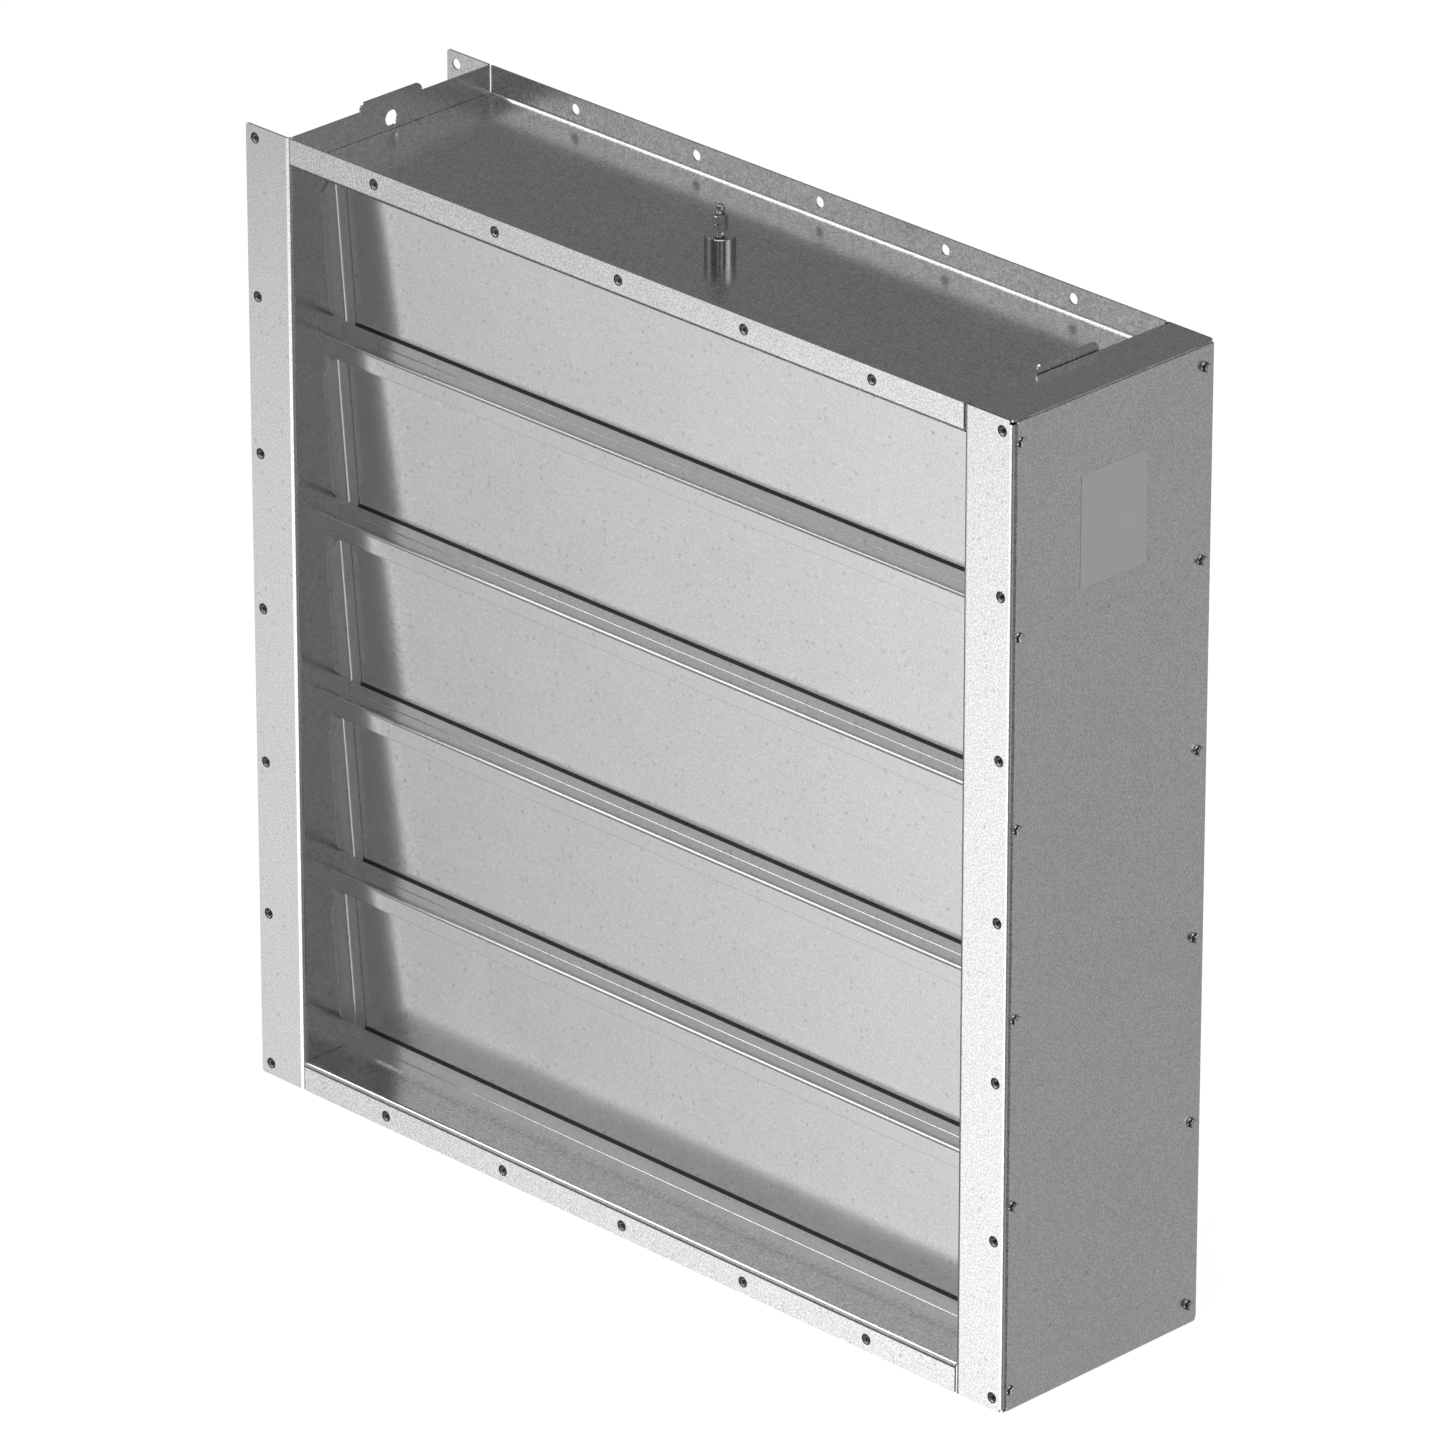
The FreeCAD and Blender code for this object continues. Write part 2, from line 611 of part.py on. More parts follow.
def build_side_stop(label, side, number):
    """Mitred angle on a wall, leaning as the shut blade does, just in front of its end."""
    body = new_body(label, signed(side, WALL), "hinge_depth", hinge_height(number), "blade_lean")
    seat = BOTTOM_SEAT_DROP if number == int(size("blade_count")) else SEAT_DROP
    low = "-(%s - stop_end_gap) / cos(blade_lean)" % seat
    high = "-(front_lip - sheet / 2 - hinge_drop + stop_end_gap) / cos(blade_lean)"

    def inwards(text):
        return signed(-side, text)
    front = "%s - sheet" % STOP_FACE
    leg_edge = "%s - stop_wall_leg" % STOP_FACE
    corners = [
        ("0", STOP_FACE), (inwards("stop_face_leg"), STOP_FACE), (inwards("stop_face_leg"), front),
        (inwards("sheet"), front), (inwards("sheet"), leg_edge), ("0", leg_edge),
    ]
    section = polygon(body, "XY_Plane", corners, low)
    pad(body, section, "(%s) - (%s)" % (high, low))
    bend(body, section, [0], "stop_bend_inside + sheet")
    bend(body, section, [3], "stop_bend_inside")
    box = body.Tip.Shape.BoundBox
    mitred = edges_where(body, ALONG_X, lambda middle: abs(middle.y - box.YMin) < TOLERANCE)
    dress(body, "PartDesign::Chamfer", mitred, "Size", "stop_mitre")
    return keep(body)


# Blades and what turns with them.

def blade_body(label, number):
    """A body on one blade's shaft axis, leaning as the shut blade does."""
    return new_body(label, "0", "hinge_depth", hinge_height(number), "blade_lean")


def pin_holes(body, diameter):
    """The first of a row of pin holes or pins, across the shaft."""
    places = [("pin_margin - %s" % BLADE_END, "0")]
    return circles(body, "XZ_Plane", places, [diameter])


def build_blade(number):
    """Sheet blade: top edge rolled into an eye round the shaft, foot folded back."""
    body = blade_body("blade_%d" % number, number)
    start = "-%s" % BLADE_END
    length = "2 * %s" % BLADE_END
    foot = "-(%s - hinge_drop - sheet / 2 - blade_foot_gap) / cos(blade_lean)" % PITCH
    front = "-blade_sheet / 2"
    back = "blade_sheet / 2"
    top = "-(%s + %s) / 2" % (EYE_INSIDE, EYE_OUTSIDE)
    corners = [
        (front, top), (front, foot), ("%s + blade_foot" % front, foot),
        ("%s + blade_foot" % front, "%s + blade_sheet" % foot), (back, "%s + blade_sheet" % foot), (back, top),
    ]
    section = polygon(body, "YZ_Plane", corners, start)
    pad(body, section, length)
    bend(body, section, [1], "blade_bend_inside + blade_sheet")
    bend(body, section, [4], "blade_bend_inside")
    centre = ("0", "0")
    ring = circles(body, "YZ_Plane", [centre, centre], ["2 * %s" % EYE_OUTSIDE, "2 * %s" % EYE_INSIDE], start)
    pad(body, ring, length)
    slit_low = (back, "-%s - blade_sheet" % EYE_OUTSIDE)
    slit_high = ("%s + eye_slit" % back, "blade_sheet - %s" % EYE_INSIDE)
    pocket(body, rectangle(body, "YZ_Plane", slit_low, slit_high), "%s + 2" % length)
    hole = pocket(body, pin_holes(body, "pin_diameter + 2 * pin_clearance"), "3 * %s" % EYE_OUTSIDE)
    repeat(body, [hole], "X_Axis", PIN_PITCH, "pin_count")
    return keep(body)


def build_shaft(number):
    """Round shaft through the blade's eye, both bushes and the lever."""
    body = blade_body("shaft_%d" % number, number)
    start = "-%s - shaft_stub" % WALL_OUTSIDE
    section = circles(body, "YZ_Plane", [("0", "0")], ["shaft_diameter"], start)
    pad(body, section, "%s + shaft_end - (%s)" % (LEVER_FACE, start))
    hole = pocket(body, pin_holes(body, "pin_diameter + 2 * pin_clearance"), "2 * shaft_diameter")
    repeat(body, [hole], "X_Axis", PIN_PITCH, "pin_count")
    return keep(body)


def build_blade_pins(number):
    """Pins that hold the rolled edge on its shaft."""
    body = blade_body("blade_pins_%d" % number, number)
    pin = body.newObject("PartDesign::Pad", body.Label + "_pad")
    pin.Profile = pin_holes(body, "pin_diameter")
    pin.SideType = "Symmetric"
    pin.setExpression("Length", formula("2 * %s" % EYE_OUTSIDE))
    repeat(body, [pin], "X_Axis", PIN_PITCH, "pin_count")
    return keep(body)


def build_bushes(label, side):
    """Flanged bushes pressed into a wall from its outside, one for each shaft."""
    body = new_body(label, "0", "hinge_depth", LOWEST_HINGE)
    flange_start = signed(side, "%s + bush_flange_height" % WALL_OUTSIDE)
    nose = signed(side, "%s - bush_nose" % WALL)
    inwards = (side == RIGHT)
    centre = [("0", "0")]
    flange = circles(body, "YZ_Plane", centre, ["bush_flange"], flange_start)
    flange_pad = pad(body, flange, "bush_flange_height", backwards=inwards)
    barrel = circles(body, "YZ_Plane", centre, ["bush_barrel"], nose)
    barrel_pad = pad(body, barrel, "bush_nose + sheet + bush_flange_height / 2", backwards=not inwards)
    bore = circles(body, "YZ_Plane", centre, ["shaft_diameter + 2 * bush_clearance"], signed(side, WALL_MIDDLE))
    bore_cut = pocket(body, bore, "4 * (bush_nose + sheet + bush_flange_height)")
    repeat(body, [flange_pad, barrel_pad, bore_cut], "Z_Axis", PITCH, "blade_count")
    return keep(body)


def build_lever(number):
    """Hub clamped on the shaft, with an arm that reaches back and down to the link pin."""
    body = new_body("lever_%d" % number, "0", "hinge_depth", hinge_height(number), "-lever_drop")
    hub_centre = ("0", "0")
    pin_centre = ("lever_length", "0")
    arm_start = "%s - lever_sheet" % LEVER_FACE
    pad(body, circles(body, "YZ_Plane", [hub_centre], ["lever_hub"], LEVER_START), "lever_hub_height")
    taper = "((lever_hub - lever_end) / 2 / lever_length)"
    hub_x = "lever_hub / 2 * %s" % taper
    hub_y = "lever_hub / 2 * sqrt(1 - %s ^ 2)" % taper
    end_x = "lever_length + lever_end / 2 * %s" % taper
    end_y = "lever_end / 2 * sqrt(1 - %s ^ 2)" % taper
    corners = [(hub_x, "-(%s)" % hub_y), (end_x, "-(%s)" % end_y), (end_x, end_y), (hub_x, hub_y)]
    pad(body, polygon(body, "YZ_Plane", corners, arm_start), "lever_sheet")
    pad(body, circles(body, "YZ_Plane", [pin_centre], ["lever_end"], arm_start), "lever_sheet")
    middle = "%s + lever_hub_height / 2" % LEVER_START
    bores = ["shaft_diameter + 2 * eye_clearance", "link_pin + 2 * link_pin_clearance"]
    pocket(body, circles(body, "YZ_Plane", [hub_centre, pin_centre], bores, middle), "2 * lever_hub_height")
    return keep(body)


def build_link_pin(number):
    """Headed pin through a lever and the link bar, peened behind the lever."""
    turn = "-lever_drop"
    body = new_body("link_pin_%d" % number, "0", "hinge_depth", hinge_height(number), turn)
    centre = [("lever_length", "0")]
    back = "%s - lever_sheet" % LEVER_FACE
    front = "%s + link_sheet + lever_gap" % LINK_START
    pad(body, circles(body, "YZ_Plane", centre, ["link_pin"], back), "%s - (%s)" % (front, back))
    head_height = "link_pin_head_height"
    pad(body, circles(body, "YZ_Plane", centre, ["link_pin_head"], front), head_height)
    peened = "(link_pin + link_pin_head) / 2"
    pad(body, circles(body, "YZ_Plane", centre, [peened], back), "%s / 2" % head_height, backwards=True)
    return keep(body)


def build_link_bar():
    """Flat bar that joins the five levers, so that the blades turn together."""
    x = LINK_START
    y = "hinge_depth + lever_length * cos(lever_drop)"
    z = "%s - lever_length * sin(lever_drop)" % LOWEST_HINGE
    body = new_body("link_bar", x, y, z)
    top_pin = "(blade_count - 1) * %s" % PITCH
    low = ("-link_width / 2", "0")
    high = ("link_width / 2", top_pin)
    pad(body, rectangle(body, "YZ_Plane", low, high), "link_sheet")
    ends = [("0", "0"), ("0", top_pin)]
    for end in ends:
        pad(body, circles(body, "YZ_Plane", [end], ["link_width"]), "link_sheet")
    hole_outline = circles(body, "YZ_Plane", [("0", "0")], ["link_pin + 2 * link_pin_clearance"], "link_sheet / 2")
    hole = pocket(body, hole_outline, "2 * link_sheet")
    repeat(body, [hole], "Z_Axis", PITCH, "blade_count")
    return keep(body)


# Fasteners and the earthing point.

def group_of_copies(label, master, places):
    """One piece made of linked copies of a master, each at a place given by formulas."""
    copies = []
    for number, place in enumerate(places, start=1):
        copy = document.addObject("App::Link", "%s_%d" % (label, number))
        copy.LinkedObject = master
        for axis, text in zip("xyz", place):
            copy.setExpression("Placement.Base.%s" % axis, formula(text))
        copies.append(copy)
    group = document.addObject("Part::Compound", label)
    group.Label = label
    group.Links = copies
    return keep(group)


def build_flange_nuts():
    """Captive nuts behind every hole of the inlet flange."""
    body = new_body("flange_nut")
    collar_start = "-nut_recess"
    pad(body, circles(body, "XZ_Plane", [("0", "0")], ["nut_collar"], collar_start), "sheet - nut_recess", True)
    pad(body, hexagon(body, "XZ_Plane", "nut_flats", "-sheet", 30), "nut_height", backwards=True)
    bore = circles(body, "XZ_Plane", [("0", "0")], ["nut_thread"])
    pocket(body, bore, "4 * (sheet + nut_height)")
    places = []
    gaps = int(size("hole_gaps"))
    for step in range(gaps + 1):
        height = "hole_margin - frame_height / 2 + %d * %s" % (step, HOLE_PITCH_Z)
        for side in (LEFT, RIGHT):
            places.append((signed(side, "frame_width / 2 - hole_margin"), "0", height))
    for step in range(1, gaps):
        across = "hole_margin - frame_width / 2 + %d * %s" % (step, HOLE_PITCH_X)
        for side in (BOTTOM, TOP):
            places.append((across, "0", signed(side, "frame_height / 2 - hole_margin")))
    return group_of_copies("flange_nuts", body, places)


def build_cover_screws():
    """Flange-head hexagon screws that hold the side cover on the lips."""
    body = new_body("cover_screw")
    head = "screw_washer_height + screw_head"
    pad(body, circles(body, "YZ_Plane", [("0", "0")], ["screw_washer"]), "screw_washer_height")
    pad(body, hexagon(body, "YZ_Plane", "screw_flats"), head)
    shank = circles(body, "YZ_Plane", [("0", "0")], ["screw_diameter"])
    pad(body, shank, "cover_thickness + sheet + screw_tail", backwards=True)
    places = []
    for step in range(int(size("screw_count"))):
        height = "screw_end - frame_height / 2 + %d * %s" % (step, SCREW_PITCH)
        for depth in ("screw_front", "frame_depth - screw_back"):
            places.append(("%s + cover_thickness" % CASE_SIDE, depth, height))
    return group_of_copies("cover_screws", body, places)


def earth_body(label):
    """A body on the earthing point's axis, at the middle of the top panel."""
    return new_body(label, "0", "frame_depth / 2", "0")


def build_earth_boss():
    """Turned boss on the top panel, with a blind hole for the stud."""
    body = earth_body("earth_boss")
    centre = [("0", "0")]
    pad(body, circles(body, "XY_Plane", centre, ["earth_boss"], PANEL_TOP), "earth_boss_height")
    hole = circles(body, "XY_Plane", centre, ["earth_stud + 2 * earth_clearance"], BOSS_TOP)
    pocket(body, hole, "2 * earth_stud_depth")
    document.recompute()
    box = body.Tip.Shape.BoundBox
    rim = []
    for number, edge in enumerate(body.Tip.Shape.Edges, start=1):
        on_top = abs(edge.BoundBox.ZMin - box.ZMax) < TOLERANCE
        if on_top and edge.BoundBox.XLength > box.XLength / 2:
            rim.append("Edge%d" % number)
    dress(body, "PartDesign::Chamfer", rim, "Size", "earth_boss_edge")
    return keep(body)


def build_earth_stud():
    """Threaded stud in the boss."""
    body = earth_body("earth_stud")
    start = "%s - earth_stud_depth" % BOSS_TOP
    section = circles(body, "XY_Plane", [("0", "0")], ["earth_stud"], start)
    pad(body, section, "earth_stud_depth + earth_stud_rise")
    document.recompute()
    top = body.Tip.Shape.BoundBox.ZMax
    rim = []
    for number, edge in enumerate(body.Tip.Shape.Edges, start=1):
        if edge.BoundBox.ZMin > top - TOLERANCE:
            rim.append("Edge%d" % number)
    dress(body, "PartDesign::Fillet", rim, "Radius", "earth_stud_edge")
    return keep(body)


def build_earth_nuts():
    """Two nuts on the stud, locked against each other."""
    body = earth_body("earth_nuts")
    start = "%s + earth_nut_rise" % BOSS_TOP
    block = pad(body, hexagon(body, "XY_Plane", "earth_nut_flats", start, 15), "earth_nut_height")
    bore = circles(body, "XY_Plane", [("0", "0")], ["earth_stud + 2 * earth_clearance"], start)
    bore_cut = pocket(body, bore, "4 * earth_nut_height")
    repeat(body, [block, bore_cut], "Z_Axis", "earth_nut_step", "2")
    return keep(body)


def build_all():
    """Every piece of the damper."""
    fill_sheet()
    build_left_wall()
    build_right_wall()
    build_panel("top_panel", TOP)
    build_panel("bottom_panel", BOTTOM)
    build_side_cover()
    build_cover_screws()
    build_flange_nuts()
    build_top_stop()
    build_bottom_stop()
    blades = range(1, int(size("blade_count")) + 1)
    for number in blades[:-1]:
        build_crossbar(number)
    for number in blades:
        build_side_stop("side_stop_left_%d" % number, LEFT, number)
        build_side_stop("side_stop_right_%d" % number, RIGHT, number)
        build_blade(number)
        build_shaft(number)
        build_blade_pins(number)
        build_lever(number)
        build_link_pin(number)
    build_bushes("bushes_left", LEFT)
    build_bushes("bushes_right", RIGHT)
    build_link_bar()
    build_earth_boss()
    build_earth_stud()
    build_earth_nuts()
    document.recompute()


def check_document():
    """Stop if a feature failed, a cut took nothing away or a piece has no sound shape."""
    for item in document.Objects:
        if "Invalid" in item.State or "Error" in item.State:
            raise RuntimeError("%s failed: %s" % (item.Label, item.State))
        if item.TypeId == "PartDesign::Pocket":
            if item.Shape.Volume >= item.BaseFeature.Shape.Volume - TOLERANCE:
                raise RuntimeError("%s cuts nothing" % item.Label)
    for piece in finished:
        if piece.Shape.isNull() or not piece.Shape.isValid():
            raise RuntimeError("%s has no valid shape" % piece.Label)


def write_steps():
    """One STEP file for each piece."""
    os.makedirs("parts", exist_ok=True)
    for piece in finished:
        piece.Shape.exportStep("parts/%s.step" % piece.Label)


build_all()
check_document()
write_steps()
print("wrote %d pieces" % len(finished))
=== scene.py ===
"""The look of the backdraft damper: finishes, fasteners, earthing stud, rubber edging, plate and studio.

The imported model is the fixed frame. Lengths are in metres: X across the duct, Y along the air flow, Z up.
Each operator makes one piece or a group of like pieces, and main() runs them in order.
"""
import math

import bmesh
import bpy
from mathutils import Euler, Matrix, Vector


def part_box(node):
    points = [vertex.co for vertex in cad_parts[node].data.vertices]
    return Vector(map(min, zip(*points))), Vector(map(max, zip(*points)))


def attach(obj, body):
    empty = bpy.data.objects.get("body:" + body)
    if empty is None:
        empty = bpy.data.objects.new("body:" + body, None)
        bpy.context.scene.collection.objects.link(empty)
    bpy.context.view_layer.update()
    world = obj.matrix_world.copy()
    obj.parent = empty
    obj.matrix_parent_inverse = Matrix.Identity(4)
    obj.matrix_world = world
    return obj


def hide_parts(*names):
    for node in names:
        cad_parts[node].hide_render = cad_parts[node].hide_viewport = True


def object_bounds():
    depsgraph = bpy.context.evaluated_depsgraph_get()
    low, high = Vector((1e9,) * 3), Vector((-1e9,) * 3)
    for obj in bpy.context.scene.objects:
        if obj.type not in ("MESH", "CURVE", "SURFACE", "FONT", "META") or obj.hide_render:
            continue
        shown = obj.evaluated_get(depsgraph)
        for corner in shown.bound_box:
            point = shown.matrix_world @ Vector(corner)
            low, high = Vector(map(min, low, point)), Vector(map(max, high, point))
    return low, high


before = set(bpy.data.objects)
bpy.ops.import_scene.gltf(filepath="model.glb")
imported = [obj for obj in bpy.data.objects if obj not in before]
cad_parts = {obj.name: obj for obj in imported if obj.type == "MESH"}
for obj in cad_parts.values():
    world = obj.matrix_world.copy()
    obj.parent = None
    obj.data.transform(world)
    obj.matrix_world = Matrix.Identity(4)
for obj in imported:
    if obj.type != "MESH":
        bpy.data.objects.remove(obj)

bl_info = {
    "name": "Backdraft damper",
    "version": (1, 0, 0),
    "blender": (4, 5, 0),
    "location": "View3D > Sidebar > Damper",
    "description": "Finishes, fasteners, plate and studio for a multi-blade backdraft damper",
    "category": "Object",
}

CAD_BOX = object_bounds()


# Sizes and colours that a user would change

def length(name, description, default, low=0.0, high=5.0):
    """A length property in metres."""
    return bpy.props.FloatProperty(name=name, description=description, default=default,
                                   min=low, max=high, precision=5, unit="LENGTH")


def share(name, description, default):
    """A property from 0 to 1."""
    return bpy.props.FloatProperty(name=name, description=description, default=default,
                                   min=0.0, max=1.0, subtype="FACTOR")


def tint(name, description, default):
    """A linear colour property."""
    return bpy.props.FloatVectorProperty(name=name, description=description, default=default,
                                         size=3, min=0.0, max=1.0, subtype="COLOR")


class DamperFinish(bpy.types.PropertyGroup):
    """Colours and textures of the metals."""
    zinc: tint("Zinc", "Colour of the galvanised sheet", (0.715, 0.715, 0.72))
    zinc_roughness: share("Zinc roughness", "How matt the galvanised sheet is", 0.20)
    flange_roughness: share("Flange roughness", "How matt the faces of the inlet flange are", 0.13)
    blade_zinc: tint("Blade", "Colour of the blades' smoother sheet", (0.755, 0.755, 0.76))
    blade_roughness: share("Blade roughness", "How matt the blades and their stops are", 0.171)
    # Painted shade: brightness of a thin line along the foot of each crossbar's front lip.
    painted_foot_shade: share("Edge shade", "Brightness of the bare edge of a crossbar's front lip", 0.84)
    grain: length("Grain", "Size of the sheet's fine grain", 0.0019, 0.0002, 0.02)
    grain_depth: share("Grain depth", "How strongly the grain shows", 0.5)
    clouds: length("Clouds", "Size of the soft patches in the zinc", 0.09, 0.01, 1.0)
    scuffs: share("Scuffs", "How many small scuffs the sheet has", 0.7)
    plated: tint("Plated steel", "Colour of the zinc plated screws and nuts", (0.58, 0.58, 0.59))
    turned: tint("Turned steel", "Colour of the earthing boss and stud", (0.70, 0.70, 0.69))
    bush: tint("Bush", "Colour of the bushes", (0.035, 0.036, 0.038))
    # Its black also stands in for shade in the gaps behind the lip seals and under the screw heads.
    rubber: tint("Rubber", "Colour of the lip seals", (0.022, 0.022, 0.023))


class DamperScrew(bpy.types.PropertyGroup):
    """Flange-head screws of the side cover."""
    flats: length("Across flats", "Width of the hexagon", 0.008)
    head: length("Head", "Height of the hexagon above its flange", 0.0046)
    flange: length("Flange", "Diameter of the head's flange", 0.0105)
    flange_height: length("Flange height", "Thickness of the head's flange", 0.0013)
    # The washer's black partly stands in for the shade in the groove under the hexagon.
    washer: length("Washer", "Thickness of the rubber washer under the hexagon", 0.0015)
    thread: length("Thread", "Diameter of the thread", 0.005)
    pitch: length("Thread pitch", "Pitch of the thread", 0.0008)
    shank: length("Shank", "Length under the head", 0.009)
    rows: bpy.props.IntProperty(name="Rows", description="Screws along one edge", default=6, min=1)
    spread: length("Spread", "First to last screw along the edge", 0.956)
    front: length("Front edge", "Front screws behind the inlet face", 0.0095)
    back: length("Back edge", "Back screws behind the inlet face", 0.2495)


class DamperNut(bpy.types.PropertyGroup):
    """Captive nuts behind the inlet flange."""
    flats: length("Across flats", "Width of the hexagon", 0.014)
    height: length("Height", "Height of the hexagon", 0.0065)
    collar: length("Collar", "Diameter of the spigot in the flange", 0.0097)
    recess: length("Recess", "Spigot behind the flange face", 0.00035)
    mouth: length("Mouth", "Depth of the spigot's countersunk mouth", 0.0013)
    sheet: length("Sheet", "Thickness of the flange", 0.002)
    thread: length("Thread", "Diameter of the thread", 0.008)
    pitch: length("Thread pitch", "Pitch of the thread", 0.00125)
    across: length("Hole square", "First to last hole along a side", 0.975)
    count: bpy.props.IntProperty(name="Holes", description="Holes along a side", default=7, min=2)
    # Partly painted shade: darker than the other plating, so that the flange holes look shaded inside.
    colour: tint("Colour", "Colour of the captive nuts", (0.42, 0.42, 0.43))


class DamperEarth(bpy.types.PropertyGroup):
    """Stud and nuts on the earthing boss."""
    thread: length("Thread", "Diameter of the stud", 0.008)
    pitch: length("Thread pitch", "Pitch of the stud's thread", 0.00125)
    flats: length("Across flats", "Width of the nuts", 0.013)
    height: length("Nut", "Height of a nut", 0.0078)
    step: length("Step", "Lower nut to upper nut", 0.008)
    tip: length("Tip", "Plain rounded end of the stud", 0.010)
    # Painted shade: colour of the upright sides as a share of the end faces' colour.
    side: share("Side", "How bright the turned sides are, as a share of the end faces", 0.52)


class DamperPlate(bpy.types.PropertyGroup):
    """Bare rating plate on the side cover."""
    width: length("Width", "Width of the plate", 0.0864)
    height: length("Height", "Height of the plate", 0.1125)
    thickness: length("Thickness", "Thickness of the plate", 0.0005)
    corner: length("Corner", "Radius of its corners", 0.0012)
    depth: length("Place", "Centre of the plate behind the inlet face", 0.1315)
    level: length("Level", "Centre of the plate above the middle", 0.36475)
    colour: tint("Colour", "Colour of the plate", (0.78, 0.78, 0.785))


class DamperSeal(bpy.types.PropertyGroup):
    """Rubber edging on the upright lips; its black also stands in for the shade in the gap between each lip
    and the blade behind.
    """
    height: length("Height", "How far the edging reaches down the lip's face", 0.0007)
    wall: length("Wall", "Rubber in front of the lip", 0.0005)
    behind: length("Behind", "Rubber behind and above the lip", 0.0002)
    sheet: length("Sheet", "Thickness of the lip", 0.002)


class DamperStage(bpy.types.PropertyGroup):
    """Floor, lamps and camera."""
    floor_width: length("Floor", "Width of the floor", 60.0, 1.0, 200.0)
    floor_colour: tint("Floor colour", "Colour of the floor", (0.9, 0.9, 0.9))
    shadow: share("Shadow", "How much of the object's shadow the floor shows", 0.16)
    lens: bpy.props.FloatProperty(name="Lens", description="Focal length on a 36 mm sensor",
                                  default=297.716, min=10.0, max=1000.0, unit="CAMERA")


# Node helpers

class Nodes:
    """Builds a node tree from short calls."""

    def __init__(self, tree):
        self.tree = tree

    def add(self, kind, inputs=None, **settings):
        """A node with its settings, and its inputs given as values or as other nodes' sockets."""
        node = self.tree.nodes.new(kind)
        for key, value in settings.items():
            setattr(node, key, value)
        for key, value in (inputs or {}).items():
            socket = node.inputs[key]
            if isinstance(value, bpy.types.NodeSocket):
                self.tree.links.new(value, socket)
            else:
                socket.default_value = value
        return node

    def noise(self, where, scale, detail=2.0, roughness=0.5, distortion=0.0):
        """Noise from 0 to 1 on the given coordinates."""
        inputs = {"Vector": where, "Scale": scale, "Detail": detail,
                  "Roughness": roughness, "Distortion": distortion}
        return self.add("ShaderNodeTexNoise", inputs).outputs["Fac"]

    def span(self, value, from_low, from_high, to_low, to_high, smooth=False):
        """Value moved from one range to another."""
        kind = "SMOOTHSTEP" if smooth else "LINEAR"
        inputs = {"Value": value, "From Min": from_low, "From Max": from_high,
                  "To Min": to_low, "To Max": to_high}
        return self.add("ShaderNodeMapRange", inputs, interpolation_type=kind).outputs["Result"]

    def maths(self, operation, first, second=0.0):
        """One sum on two values."""
        return self.add("ShaderNodeMath", {0: first, 1: second}, operation=operation).outputs[0]

    def shaded(self, colour, factor):
        """A colour multiplied by a factor that changes over the surface."""
        scaled = self.add("ShaderNodeVectorMath", {0: colour, "Scale": factor}, operation="SCALE")
        return scaled.outputs["Vector"]

    def product(self, *factors):
        """Several values multiplied in order."""
        result = factors[0]
        for factor in factors[1:]:
            result = self.maths("MULTIPLY", result, factor)
        return result


def new_material(name):
    """An empty material, with a node builder, the object's coordinates and a Principled shader."""
    material = bpy.data.materials.new(name)
    material.use_nodes = True
    material.node_tree.nodes.clear()
    nodes = Nodes(material.node_tree)
    where = nodes.add("ShaderNodeTexCoord").outputs["Object"]
    shader = nodes.add("ShaderNodeBsdfPrincipled")
    output = nodes.add("ShaderNodeOutputMaterial")
    material.node_tree.links.new(shader.outputs["BSDF"], output.inputs["Surface"])
    return material, nodes, where, shader


def link(nodes, source, shader, name):
    """Joins a socket to one of the shader's inputs."""
    nodes.tree.links.new(source, shader.inputs[name])


